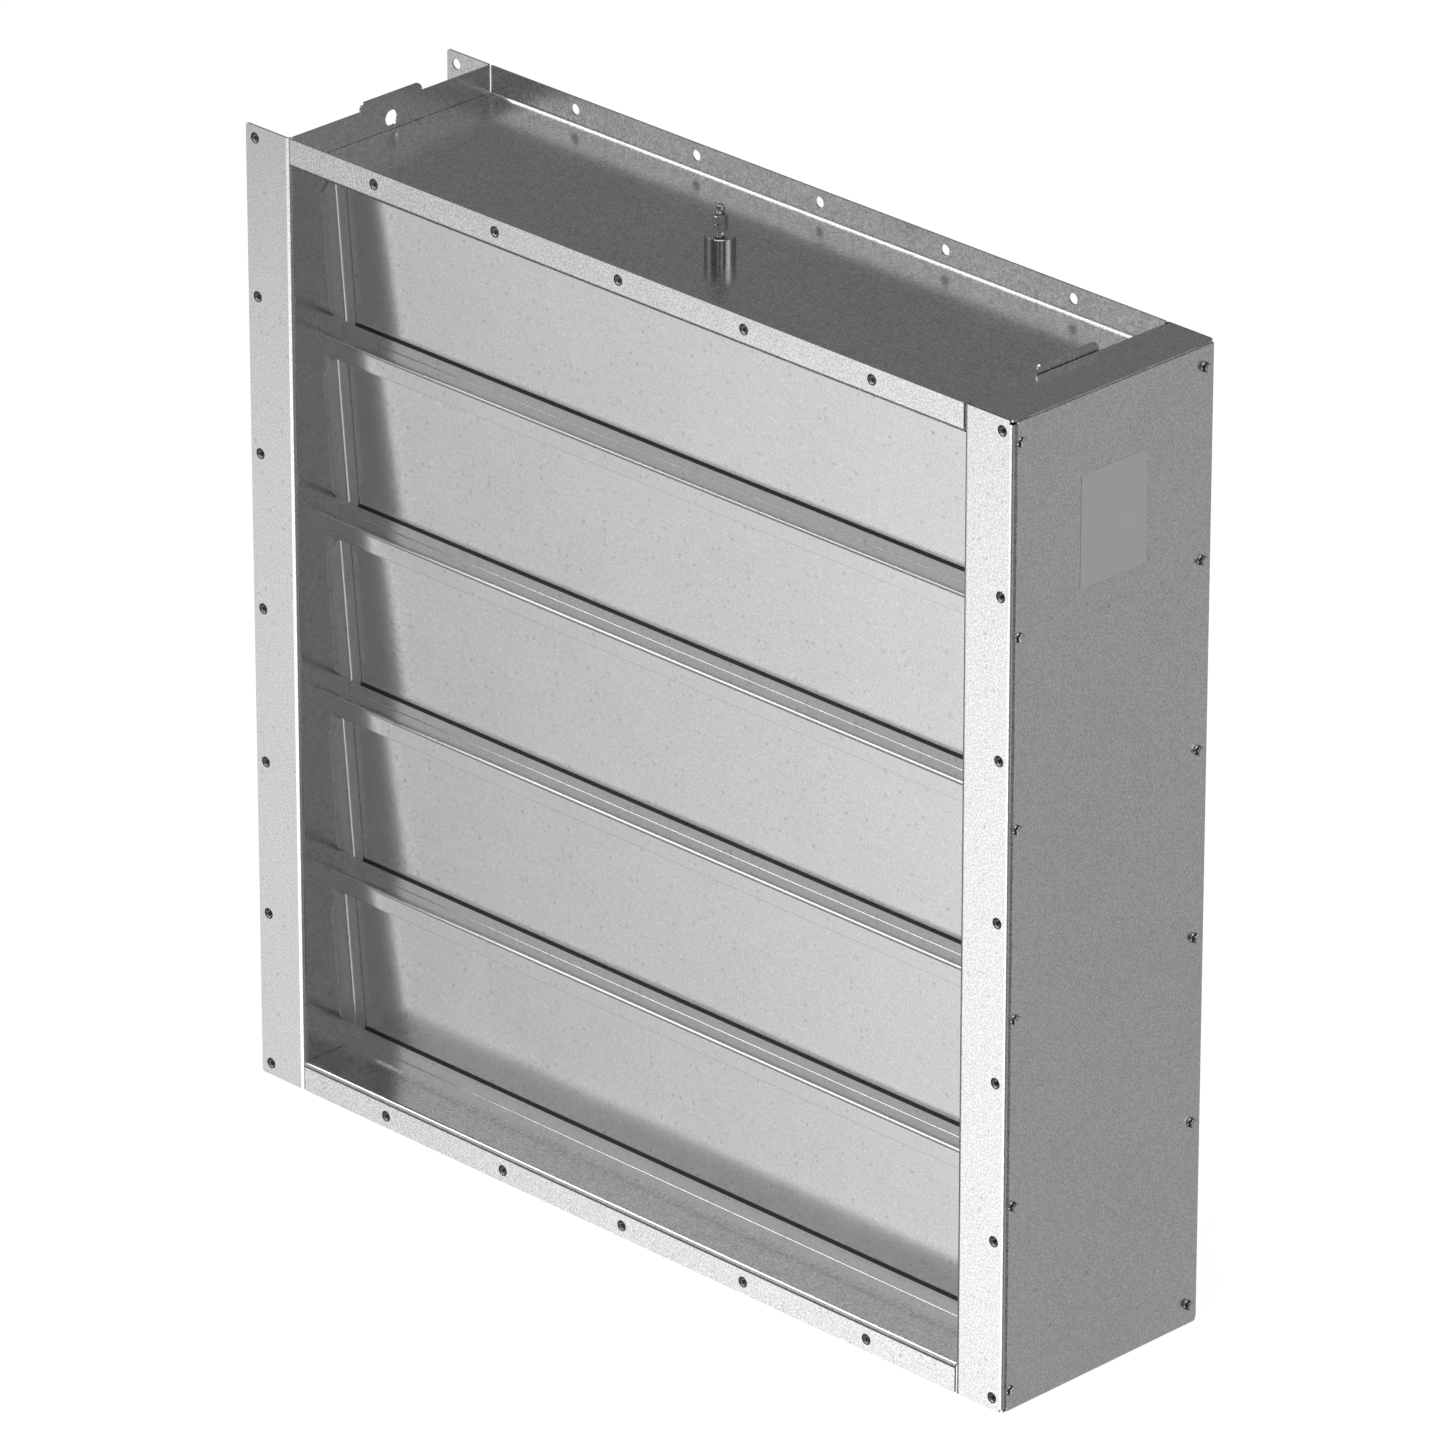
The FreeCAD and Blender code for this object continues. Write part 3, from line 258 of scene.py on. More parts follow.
def sheet_finish(name, look, colour, roughness, flange_roughness, grain_depth, cloud_size, shift,
                 edges=None):
    """Galvanised sheet with a fine grain, soft clouds, specks and a few small scuffs.

    The flange's face has its own roughness. shift moves the textures, so that no two finishes are alike.
    edges gives a painted shade line: the level of the lowest such line at a lip's foot, the pitch of such
    lines and their brightness.
    """
    material, nodes, where, shader = new_material(name)
    depth, level = nodes.add("ShaderNodeSeparateXYZ", {"Vector": where}).outputs[1:3]
    rubbed = nodes.span(depth, 0.0015, 0.0035, flange_roughness, roughness)
    moved = (shift, shift * 0.7, shift * 1.3)
    where = nodes.add("ShaderNodeMapping", {"Vector": where, "Location": moved}).outputs[0]
    grain_size, scuffs = look.grain, look.scuffs
    grain = nodes.noise(where, 1.0 / grain_size, 2.0, 0.6)
    fleck = nodes.noise(where, 0.25 / grain_size, 3.0, 0.65)
    cloud = nodes.noise(where, 1.0 / cloud_size, 4.0, 0.55, 0.6)
    bent = nodes.add("ShaderNodeVectorMath", {0: where, 1: nodes.shaded(
        (0.003, 0.003, 0.003), nodes.noise(where, 300.0, 2.0, 0.6))}, operation="ADD").outputs[0]
    patchy = nodes.span(nodes.noise(where, 6.0, 3.0, 0.6), 0.50, 0.66, 0.0, 1.0)
    speck = spots(nodes, bent, 110.0, 0.10, 0.30, 0.45 * scuffs)
    scuff = nodes.maths("MULTIPLY", spots(nodes, bent, 34.0, 0.03, 0.085, 0.8 * scuffs), patchy)

    light = nodes.product(
        nodes.span(grain, 0.3, 0.7, 1.0 - 0.5 * grain_depth, 1.0 + 0.5 * grain_depth),
        nodes.span(fleck, 0.3, 0.7, 1.0 - 0.1 * grain_depth, 1.0 + 0.1 * grain_depth),
        nodes.span(cloud, 0.25, 0.75, 0.975, 1.025),
        nodes.span(speck, 0.0, 1.0, 1.0, 0.80),
        nodes.span(scuff, 0.0, 1.0, 1.0, 0.62),
    )
    # Painted shade: a thin darker band just above the foot of each crossbar's front lip, where shade falls
    # in the gap to the blade behind; it repeats one crossbar pitch apart.
    if edges:
        foot, pitch, shade = edges
        above = nodes.maths("FLOORED_MODULO", nodes.maths("SUBTRACT", level, foot), pitch)
        light = nodes.product(light, nodes.span(above, 0.0008, 0.0014, shade, 1.0))
    link(nodes, nodes.shaded(colour, light), shader, "Base Color")

    matt = nodes.maths("ADD", nodes.span(cloud, 0.25, 0.75, -0.012, 0.012), rubbed)
    link(nodes, nodes.maths("ADD", matt, nodes.maths("MULTIPLY", scuff, 0.15)), shader, "Roughness")

    height = nodes.maths("SUBTRACT", grain, nodes.maths("MULTIPLY", scuff, 1.5))
    bump = nodes.add("ShaderNodeBump", {"Height": height, "Strength": 0.06 * grain_depth,
                                        "Distance": 0.0004})
    link(nodes, bump.outputs["Normal"], shader, "Normal")
    shader.inputs["Metallic"].default_value = 1.0
    return material


def spots(nodes, where, scale, inner, outer, amount):
    """Small soft spots in a share of the cells of a random pattern."""
    cell = nodes.add("ShaderNodeTexVoronoi", {"Vector": where, "Scale": scale, "Randomness": 1.0})
    near = nodes.span(cell.outputs["Distance"], inner, outer, 1.0, 0.0)
    chosen = nodes.span(nodes.add("ShaderNodeSeparateColor", {"Color": cell.outputs["Color"]}).outputs[0],
                        1.0 - amount, 1.0 - 0.6 * amount, 0.0, 1.0)
    return nodes.maths("MULTIPLY", near, chosen)


def plated_finish(name, colour, roughness):
    """Zinc plated steel for screws and nuts, with worn, brighter patches."""
    material, nodes, where, shader = new_material(name)
    fine = nodes.noise(where, 2200.0, 2.0, 0.6)
    patch = nodes.noise(where, 420.0, 3.0, 0.6)
    light = nodes.product(nodes.span(fine, 0.3, 0.7, 0.93, 1.07), nodes.span(patch, 0.3, 0.7, 0.86, 1.12))
    link(nodes, nodes.shaded(colour, light), shader, "Base Color")
    link(nodes, nodes.span(patch, 0.3, 0.7, roughness - 0.05, roughness + 0.07), shader, "Roughness")
    bump = nodes.add("ShaderNodeBump", {"Height": fine, "Strength": 0.08, "Distance": 0.0003})
    link(nodes, bump.outputs["Normal"], shader, "Normal")
    shader.inputs["Metallic"].default_value = 1.0
    return material


def turned_finish(name, colour, roughness, centre, side):
    """Turned steel: fine tool rings round an upright axis, and painted shade that makes the upright sides
    darker than the end faces.
    """
    material, nodes, where, shader = new_material(name)
    to_axis = (-centre[0], -centre[1], 0.0)
    moved = nodes.add("ShaderNodeMapping", {"Vector": where, "Location": to_axis}).outputs[0]
    x, y, z = nodes.add("ShaderNodeSeparateXYZ", {"Vector": moved}).outputs[:]
    radius = nodes.maths("POWER", nodes.maths("ADD", nodes.product(x, x), nodes.product(y, y)), 0.5)
    rings = nodes.add("ShaderNodeCombineXYZ", {"X": nodes.maths("ADD", radius, z)}).outputs[0]
    tool = nodes.noise(rings, 2600.0, 2.0, 0.5)
    patch = nodes.noise(where, 160.0, 3.0, 0.55)
    # Painted shade: the colour is darker where the surface faces sideways than where it faces up.
    normal = nodes.add("ShaderNodeNewGeometry").outputs["Normal"]
    facing = nodes.add("ShaderNodeSeparateXYZ", {"Vector": normal}).outputs[2]
    light = nodes.product(nodes.span(tool, 0.3, 0.7, 0.92, 1.06), nodes.span(patch, 0.3, 0.7, 0.93, 1.05),
                          nodes.span(facing, 0.3, 0.9, side, 1.0))
    link(nodes, nodes.shaded(colour, light), shader, "Base Color")
    link(nodes, nodes.span(tool, 0.3, 0.7, roughness - 0.03, roughness + 0.06), shader, "Roughness")
    bump = nodes.add("ShaderNodeBump", {"Height": tool, "Strength": 0.06, "Distance": 0.0002})
    link(nodes, bump.outputs["Normal"], shader, "Normal")
    shader.inputs["Metallic"].default_value = 1.0
    return material


def moulded_finish(name, colour):
    """Moulded plastic or rubber with a faint grain and soft patches."""
    material, nodes, where, shader = new_material(name)
    fine = nodes.noise(where, 1500.0, 3.0, 0.6)
    patch = nodes.noise(where, 120.0, 3.0, 0.6)
    link(nodes, nodes.shaded(colour, nodes.span(patch, 0.3, 0.7, 0.75, 1.5)), shader, "Base Color")
    link(nodes, nodes.span(fine, 0.3, 0.7, 0.38, 0.52), shader, "Roughness")
    bump = nodes.add("ShaderNodeBump", {"Height": fine, "Strength": 0.15, "Distance": 0.0002})
    link(nodes, bump.outputs["Normal"], shader, "Normal")
    return material


def plate_finish(name, colour):
    """Satin plate with a fine brushed grain along its width."""
    material, nodes, where, shader = new_material(name)
    brushed_map = nodes.add("ShaderNodeMapping", {"Vector": where, "Scale": (1.0, 0.02, 1.0)}).outputs[0]
    brushed = nodes.noise(brushed_map, 3000.0, 2.0, 0.6)
    cloud = nodes.noise(where, 30.0, 3.0, 0.5)
    light = nodes.product(nodes.span(brushed, 0.3, 0.7, 0.985, 1.015),
                          nodes.span(cloud, 0.3, 0.7, 0.98, 1.02))
    link(nodes, nodes.shaded(colour, light), shader, "Base Color")
    link(nodes, nodes.span(cloud, 0.3, 0.7, 0.42, 0.48), shader, "Roughness")
    shader.inputs["Metallic"].default_value = 0.6
    return material


def wear(node, material):
    """Gives a CAD node its finish."""
    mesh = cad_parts[node].data
    mesh.materials.clear()
    mesh.materials.append(material)


def named(*starts):
    """CAD nodes whose names start with one of these words."""
    return [name for name in sorted(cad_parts) if name.startswith(starts)]


# Mesh helpers

def loft(mesh, rings, close_ends=True, closed_loop=False):
    """Quads between rings of equal count; the ends are filled, or joined to each other."""
    loops = [[mesh.verts.new(point) for point in ring] for ring in rings]
    pairs = list(zip(loops, loops[1:]))
    if closed_loop:
        pairs.append((loops[-1], loops[0]))
    for low, high in pairs:
        for step in range(len(low)):
            after = (step + 1) % len(low)
            mesh.faces.new((low[step], low[after], high[after], high[step]))
    if close_ends and not closed_loop:
        mesh.faces.new(list(reversed(loops[0])))
        mesh.faces.new(loops[-1])
    return loops


def circle(radius, z, count):
    """Points on a circle about Z."""
    angles = [step * (2 * math.pi / count) for step in range(count)]
    return [Vector((radius * math.cos(angle), radius * math.sin(angle), z)) for angle in angles]


def hexagon_reach(angle, flats):
    """Distance from the axis to a hexagon's side at an angle."""
    sector = math.pi / 3
    return flats / 2 / math.cos((angle + sector / 2) % sector - sector / 2)


def hexagon_ring(flats, z, count, chamfer_from=None, slope=0.0):
    """Points on a hexagon about Z; a turned chamfer lowers those beyond a radius."""
    points = []
    for step in range(count):
        angle = 2 * math.pi * step / count
        reach = hexagon_reach(angle, flats)
        drop = 0.0 if chamfer_from is None else max(0.0, reach - chamfer_from) * slope
        points.append(Vector((reach * math.cos(angle), reach * math.sin(angle), z - drop)))
    return points


def thread_turns(mesh, crest, root, pitch, low, high, count):
    """A screw thread as one helical strip; it runs out into the root circle at both ends."""
    shape = [root, root, crest, crest]
    rows = int(math.ceil((high - low) / pitch)) * len(shape) + 2 * len(shape)
    columns = []
    for step in range(count + 1):
        angle = 2 * math.pi * step / count
        column = []
        for row in range(rows):
            z = low - pitch + pitch * (row / len(shape) + step / count)
            fade = max(0.0, min(1.0, (z - low) / pitch, (high - z) / pitch))
            radius = root + (shape[row % len(shape)] - root) * fade
            z = min(max(z, low), high)
            column.append(mesh.verts.new((radius * math.cos(angle), radius * math.sin(angle), z)))
        columns.append(column)
    for left, right in zip(columns, columns[1:]):
        for row in range(rows - 1):
            mesh.faces.new((left[row], right[row], right[row + 1], left[row + 1]))


def settle(mesh):
    """Merges doubled points, drops empty faces, fills open ends and points all faces outwards."""
    bmesh.ops.remove_doubles(mesh, verts=mesh.verts, dist=1e-6)
    bmesh.ops.dissolve_degenerate(mesh, dist=1e-7, edges=mesh.edges)
    open_edges = [edge for edge in mesh.edges if edge.is_boundary]
    if open_edges:
        bmesh.ops.holes_fill(mesh, edges=open_edges, sides=0)
    bmesh.ops.recalc_face_normals(mesh, faces=mesh.faces)


def finished(mesh, name, sharp_angle=35.0):
    """A linked object from a bmesh, smooth but for edges sharper than an angle."""
    data = bpy.data.meshes.new(name)
    for face in mesh.faces:
        face.smooth = True
    for edge in mesh.edges:
        edge.smooth = edge.is_manifold and edge.calc_face_angle(0.0) < math.radians(sharp_angle)
    mesh.to_mesh(data)
    mesh.free()
    made = bpy.data.objects.new(name, data)
    bpy.context.scene.collection.objects.link(made)
    return made


def fastener_grid():
    """Geometry Nodes tree that sets a fastener at each point of a grid, each turned by its own angle."""
    tree = bpy.data.node_groups.get("Fastener grid")
    if tree:
        return tree
    tree = bpy.data.node_groups.new("Fastener grid", "GeometryNodeTree")
    tree.is_modifier = True
    face = tree.interface
    face.new_socket("Geometry", in_out="INPUT", socket_type="NodeSocketGeometry")
    inputs = (("Fastener", "Object"), ("Finish", "Material"), ("Width", "Float"), ("Height", "Float"),
              ("Columns", "Int"), ("Rows", "Int"), ("Rim only", "Bool"), ("Largest turn", "Float"),
              ("Seed", "Int"), ("Centre", "Vector"), ("Plane turn", "Vector"))
    for name, kind in inputs:
        face.new_socket(name, in_out="INPUT", socket_type="NodeSocket" + kind)
    face.new_socket("Geometry", in_out="OUTPUT", socket_type="NodeSocketGeometry")
    nodes = Nodes(tree)
    given = nodes.add("NodeGroupInput").outputs
    grid = nodes.add("GeometryNodeMeshGrid", {
        "Size X": given["Width"], "Size Y": given["Height"],
        "Vertices X": given["Columns"], "Vertices Y": given["Rows"]})
    position = nodes.add("GeometryNodeInputPosition").outputs[0]
    place = nodes.add("ShaderNodeSeparateXYZ", {"Vector": position})
    inside = []
    for axis, side in ((0, "Width"), (1, "Height")):
        reach = nodes.maths("ABSOLUTE", place.outputs[axis])
        inside.append(nodes.maths("LESS_THAN", reach, nodes.product(given[side], 0.49)))
    inner = nodes.product(*inside, given["Rim only"])
    points = nodes.add("GeometryNodeMeshToPoints", {"Mesh": grid.outputs["Mesh"]})
    kept = nodes.add("GeometryNodeDeleteGeometry", {"Geometry": points.outputs[0], "Selection": inner},
                     domain="POINT")
    master = nodes.add("GeometryNodeObjectInfo", {"Object": given["Fastener"]})
    copies = nodes.add("GeometryNodeInstanceOnPoints", {"Points": kept.outputs[0],
                                                        "Instance": master.outputs["Geometry"]})
    angle = nodes.add("FunctionNodeRandomValue", {"Max": given["Largest turn"], "Seed": given["Seed"]},
                      data_type="FLOAT")
    spin = nodes.add("ShaderNodeCombineXYZ", {"Z": angle.outputs[1]})
    turned = nodes.add("GeometryNodeRotateInstances", {"Instances": copies.outputs[0],
                                                       "Rotation": spin.outputs[0]})
    real = nodes.add("GeometryNodeRealizeInstances", {"Geometry": turned.outputs[0]})
    placed = nodes.add("GeometryNodeTransform", {
        "Geometry": real.outputs[0], "Translation": given["Centre"], "Rotation": given["Plane turn"]})
    coated = nodes.add("GeometryNodeSetMaterial", {"Geometry": placed.outputs[0],
                                                   "Material": given["Finish"]})
    result = nodes.add("NodeGroupOutput")
    tree.links.new(coated.outputs[0], result.inputs[0])
    return tree


def spread(master, name, values):
    """Runs the fastener grid on a master piece, and returns the result as one plain mesh object."""
    holder = bpy.data.objects.new(name + "_grid", bpy.data.meshes.new(name + "_grid"))
    bpy.context.scene.collection.objects.link(holder)
    tree = fastener_grid()
    modifier = holder.modifiers.new("Fasteners", "NODES")
    modifier.node_group = tree
    values = {"Fastener": master, **values}
    for item in tree.interface.items_tree:
        if item.in_out == "INPUT" and item.name in values:
            modifier[item.identifier] = values[item.name]
    bpy.context.view_layer.update()
    evaluated = holder.evaluated_get(bpy.context.evaluated_depsgraph_get())
    data = bpy.data.meshes.new_from_object(evaluated)
    data.name = name
    bpy.data.objects.remove(holder)
    bpy.data.objects.remove(master)
    made = bpy.data.objects.new(name, data)
    bpy.context.scene.collection.objects.link(made)
    return made


# Operators

class DAMPER_OT_sheet_metal(bpy.types.Operator):
    """Galvanised finish on the walls, the panels and the side cover"""
    bl_idname = "damper.sheet_metal"
    bl_label = "Sheet metal"

    def execute(self, context):
        look = context.scene.damper_finish
        groups = {
            "galvanised_left": (("left_wall",), 0.7, 0.0),
            "galvanised_right": (("right_wall",), 1.2, 1.9),
            "galvanised_panels": (("top_panel", "bottom_panel"), 1.2, 3.1),
            "galvanised_cover": (("side_cover",), 1.0, 7.7),
        }
        for name, (starts, depth, shift) in groups.items():
            material = sheet_finish(name, look, look.zinc, look.zinc_roughness, look.flange_roughness,
                                    depth * look.grain_depth, look.clouds, shift)
            for node in named(*starts):
                wear(node, material)
        return {"FINISHED"}


class DAMPER_OT_blades(bpy.types.Operator):
    """Smoother galvanised finish on the blades, the crossbars and the stops"""
    bl_idname = "damper.blades"
    bl_label = "Blades"

    def execute(self, context):
        look = context.scene.damper_finish
        blades = ["blade_%d" % number for number in range(1, 6)]
        bars = named("crossbar", "top_stop", "bottom_stop")
        # The bar finish gets a painted shade line at the foot of each crossbar's front lip, one crossbar
        # pitch apart.
        feet = sorted(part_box(node)[0].z for node in named("crossbar"))
        edges = (feet[0], feet[1] - feet[0], look.painted_foot_shade)
        rows = (
            ("blade_sheet", blades, 1.0, 0.45, 19.0, None),
            ("bar_sheet", bars, 1.0, 0.3, 11.3, edges),
            ("stop_sheet", named("side_stop"), 2.1, 0.3, 5.9, None),
        )
        for name, group, dull, depth, shift, shade_line in rows:
            roughness = dull * look.blade_roughness
            material = sheet_finish(name, look, look.blade_zinc, roughness, roughness,
                                    depth * look.grain_depth, 1.4 * look.clouds, shift, shade_line)
            for node in group:
                wear(node, material)
        return {"FINISHED"}


class DAMPER_OT_lip_seals(bpy.types.Operator):
    """Rubber edging on the upright lips that the blades' feet shut against; its black also stands in for
    the shade in the gap to the blade
    """
    bl_idname = "damper.lip_seals"
    bl_label = "Lip seals"

    def execute(self, context):
        size = context.scene.damper_seal
        rubber = moulded_finish("seal_rubber_and_gap_shade", context.scene.damper_finish.rubber)
        stops = [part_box(node) for node in named("side_stop")]
        left = max(high.x for low, high in stops if high.x < 0.0)
        right = min(low.x for low, high in stops if low.x > 0.0)
        chamfer = 0.0002
        for number, node in enumerate(named("crossbar", "bottom_stop"), 1):
            low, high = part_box(node)
            front = high.y - size.sheet - size.wall
            back = high.y + size.behind
            top = high.z + size.behind
            foot = high.z - size.height
            corners = [(front, foot), (back, foot), (back, top),
                       (front + chamfer, top), (front, top - chamfer)]
            mesh = bmesh.new()
            loft(mesh, [[Vector((x, y, z)) for y, z in corners] for x in (left, right)])
            settle(mesh)
            seal = finished(mesh, "lip_seal_%d" % number)
            seal.data.materials.append(rubber)
            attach(seal, "frame")
        return {"FINISHED"}


class DAMPER_OT_linkage(bpy.types.Operator):
    """Steel finishes on the shafts, pins, levers and link bar, and plastic on the bushes"""
    bl_idname = "damper.linkage"
    bl_label = "Linkage"

    def execute(self, context):
        look = context.scene.damper_finish
        bright = plated_finish("bright_steel", look.turned, 0.26)
        plated = plated_finish("plated_levers", look.plated, 0.34)
        for node in named("shaft", "link_pin", "blade_pins"):
            wear(node, bright)
        for node in named("lever", "link_bar"):
            wear(node, plated)
        bush = moulded_finish("bush_plastic", look.bush)
        for node in named("bushes"):
            wear(node, bush)
        return {"FINISHED"}


class DAMPER_OT_cover_screws(bpy.types.Operator):
    """Flange-head screws along both upright edges of the side cover"""
    bl_idname = "damper.cover_screws"
    bl_label = "Cover screws"

    def execute(self, context):
        size = context.scene.damper_screw
        count = 36
        rim = size.flange / 2
        neck = 0.40 * size.flats
        disc = size.flange_height
        foot = disc + size.washer
        top = disc + size.head
        crest = size.thread / 2
        root = crest - 0.6 * size.pitch
        edge = 0.0002
        bevel = 0.0003
        mesh = bmesh.new()
        loft(mesh, [
            circle(rim - edge, 0.0, count), circle(rim, edge, count), circle(rim, 0.6 * disc, count),
            circle(rim - bevel, disc, count), circle(neck, disc, count), circle(neck, foot, count),
            hexagon_ring(0.95 * size.flats, foot, count), hexagon_ring(size.flats, foot + bevel, count),
            hexagon_ring(size.flats, top - bevel, count), hexagon_ring(0.94 * size.flats, top, count),
        ])
        thread_turns(mesh, crest, root, size.pitch, -size.shank, bevel, 24)
        settle(mesh)
        master = finished(mesh, "cover_screw")
        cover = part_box("side_cover")
        places = {
            "Width": size.spread, "Height": size.back - size.front, "Columns": size.rows, "Rows": 2,
            "Rim only": False, "Largest turn": 1.04, "Seed": 5,
            "Centre": (cover[1].x, (size.front + size.back) / 2, 0.0),
            "Plane turn": (0.0, math.pi / 2, 0.0),
        }
        look = context.scene.damper_finish
        screws = spread(master, "cover_screws_dressed",
                        {"Finish": plated_finish("screw_plating", look.zinc, 0.20), **places})
        # A black rubber washer between each screw's flange and hexagon; its black also stands in for the
        # shade in the groove under the head.
        mesh = bmesh.new()
        outer = 0.55 * size.flats
        loft(mesh, [
            circle(neck, disc, count), circle(outer, disc, count),
            circle(outer + edge, (disc + foot) / 2, count), circle(outer, foot, count),
            circle(neck, foot, count),
        ], closed_loop=True)
        bmesh.ops.recalc_face_normals(mesh, faces=mesh.faces)
        washers = spread(finished(mesh, "cover_washer"), "cover_washers",
                         {"Finish": moulded_finish("washer_rubber_and_shade", look.rubber), **places})
        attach(washers, "frame")
        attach(screws, "frame")
        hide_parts("cover_screws")
        return {"FINISHED"}


class DAMPER_OT_flange_nuts(bpy.types.Operator):
    """Captive nuts behind every hole of the inlet flange, with their threads"""
    bl_idname = "damper.flange_nuts"
    bl_label = "Flange nuts"

    def execute(self, context):
        size = context.scene.damper_nut
        count = 36
        collar = size.collar / 2
        bore = size.thread / 2
        seat = -size.sheet
        back = seat - size.height
        front = -size.recess
        chamfer = 0.47 * size.flats
        rim = 0.00012
        bevel = 0.0004
        lead = 0.0005
        margin = 0.0006
        ledge = hexagon_ring(size.flats, seat, count)
        rings = [
            circle(bore, front - size.mouth, count), circle(collar - rim, front, count),
            circle(collar, front - 0.0001, count), circle(collar, seat, count), ledge,
            [Vector((p.x, p.y, back + max(0.0, p.xy.length - chamfer) * 0.6)) for p in ledge],
            circle(chamfer, back, count), circle(bore + bevel, back, count),
            circle(bore, back + bevel, count),
        ]
        start = back + lead
        turns = int((front - size.mouth - back - margin) / size.pitch)
        crest = bore - 0.65 * size.pitch
        for turn in range(turns):
            low = start + turn * size.pitch
            for radius, step in ((bore, 0.0), (crest, 0.4), (crest, 0.6)):
                rings.append(circle(radius, low + step * size.pitch, count))
        mesh = bmesh.new()
        loft(mesh, rings, closed_loop=True)
        bmesh.ops.recalc_face_normals(mesh, faces=mesh.faces)
        master = finished(mesh, "flange_nut", 28.0)
        nuts = spread(master, "flange_nuts_dressed", {
            # The nuts' darker colour is partly painted shade for the insides of the flange holes.
            "Finish": plated_finish("nut_plating", size.colour, 0.22),
            "Width": size.across, "Height": size.across, "Columns": size.count, "Rows": size.count,
            "Rim only": True, "Largest turn": 0.0, "Seed": 2, "Centre": (0.0, 0.0, 0.0),
            "Plane turn": (math.pi / 2, 0.0, 0.0),
        })
        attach(nuts, "frame")
        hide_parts("flange_nuts")
        return {"FINISHED"}


class DAMPER_OT_earthing(bpy.types.Operator):
    """Turned boss, threaded stud and two nuts on the top panel"""
    bl_idname = "damper.earthing"
    bl_label = "Earthing point"

    def execute(self, context):
        size = context.scene.damper_earth
        look = context.scene.damper_finish
        low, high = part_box("earth_stud")
        nuts_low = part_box("earth_nuts")[0].z
        axis = (low + high) / 2
        roughness = 0.15
        # The boss's sides carry painted shade, set by the side share.
        wear("earth_boss", turned_finish("turned_boss", look.turned, roughness, axis, size.side))

        mesh = bmesh.new()
        count = 40
        crest = size.thread / 2
        root = crest - 0.61 * size.pitch
        shoulder = high.z - size.tip
        neck = nuts_low - 0.0003
        slope = 0.0004
        thread_turns(mesh, crest, root, size.pitch, neck, shoulder, count)
        settle(mesh)
        loft(mesh, [circle(crest, low.z, count), circle(crest, neck - slope, count),
                    circle(root, neck, count)])
        tip = [circle(root, shoulder, count), circle(crest, shoulder + slope, count)]
        rounding = 0.0016
        steps = 5
        for step in range(steps + 1):
            angle = math.pi / 2 * step / steps
            radius = crest - rounding * (1 - math.cos(angle))
            tip.append(circle(radius, high.z - rounding * (1 - math.sin(angle)), count))
        loft(mesh, tip)
        stud = finished(mesh, "earth_stud_dressed")
        for vertex in stud.data.vertices:
            vertex.co.x += axis.x
            vertex.co.y += axis.y
        # The stud's sides carry half as much painted shade as the boss's.
        stud_side_shade = (1.0 + size.side) / 2
        stud.data.materials.append(turned_finish("turned_stud", look.turned, roughness, axis, stud_side_shade))
        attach(stud, "frame")
        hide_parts("earth_stud")

        count = 48
        chamfer = 0.475 * size.flats
        slope = 0.6
        bore = crest + 0.00003
        bevel = 0.0005
        top = size.height
        lower = hexagon_ring(size.flats, 0.0, count)
        for point in lower:
            point.z = max(0.0, point.xy.length - chamfer) * slope
        mesh = bmesh.new()
        loft(mesh, [
            circle(bore, bevel, count), circle(bore + bevel, 0.0, count),
            circle(chamfer, 0.0, count), lower,
            hexagon_ring(size.flats, top, count, chamfer, slope), circle(chamfer, top, count),
            circle(bore + bevel, top, count), circle(bore, top - bevel, count),
        ], closed_loop=True)
        bmesh.ops.recalc_face_normals(mesh, faces=mesh.faces)
        master = finished(mesh, "earth_nut", 28.0)
        turn = Matrix.Rotation(math.pi / 2, 4, "Y") @ Matrix.Rotation(math.radians(15), 4, "Z")
        master.data.transform(turn)
        nuts = spread(master, "earth_nuts_dressed", {
            "Finish": plated_finish("earth_nut_plating", look.plated, 0.22),
            "Width": size.step, "Height": 0.0, "Columns": 2, "Rows": 1, "Rim only": False,
            "Largest turn": 0.0, "Seed": 1, "Centre": (axis.x, axis.y, nuts_low + size.step / 2),
            "Plane turn": (0.0, -math.pi / 2, 0.0),
        })
        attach(nuts, "frame")
        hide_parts("earth_nuts")
        return {"FINISHED"}


class DAMPER_OT_plate(bpy.types.Operator):
    """Bare rating plate on the side cover"""
    bl_idname = "damper.plate"
    bl_label = "Rating plate"

    def execute(self, context):
        size = context.scene.damper_plate
        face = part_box("side_cover")[1].x
        outline = []
        half_width, half_height = size.width / 2 - size.corner, size.height / 2 - size.corner
        for corner, (side, rise) in enumerate(((1, 1), (-1, 1), (-1, -1), (1, -1))):
            centre = Vector((side * half_width, rise * half_height))
            for step in range(5):
                angle = math.pi / 2 * (corner + step / 4)
                outline.append(centre + size.corner * Vector((math.cos(angle), math.sin(angle))))
        edge = 0.3 * size.thickness
        mesh = bmesh.new()
        rings = []
        for inset, out in ((0.0, 0.0), (0.0, size.thickness - edge), (edge, size.thickness)):
            ring = []
            for point in outline:
                near = Vector((point.x * (1 - 2 * inset / size.width),
                               point.y * (1 - 2 * inset / size.height)))
                ring.append((face + out, size.depth + near.x, size.level + near.y))
            rings.append(ring)
        loft(mesh, rings)
        settle(mesh)
        plate = finished(mesh, "rating_plate")
        plate.data.materials.append(plate_finish("satin_plate", size.colour))
        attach(plate, "frame")
        return {"FINISHED"}


# Studio light

def lobe(nodes, direction, way, width, core, level):
    """Soft patch of light in the world round a direction; width and core are angles in degrees."""
    inputs = {0: direction, 1: Vector(way).normalized()}
    facing = nodes.add("ShaderNodeVectorMath", inputs, operation="DOT_PRODUCT").outputs["Value"]
    rim, full = math.cos(math.radians(width)), math.cos(math.radians(core))
    return nodes.span(facing, rim, full, 0.0, level, smooth=True)


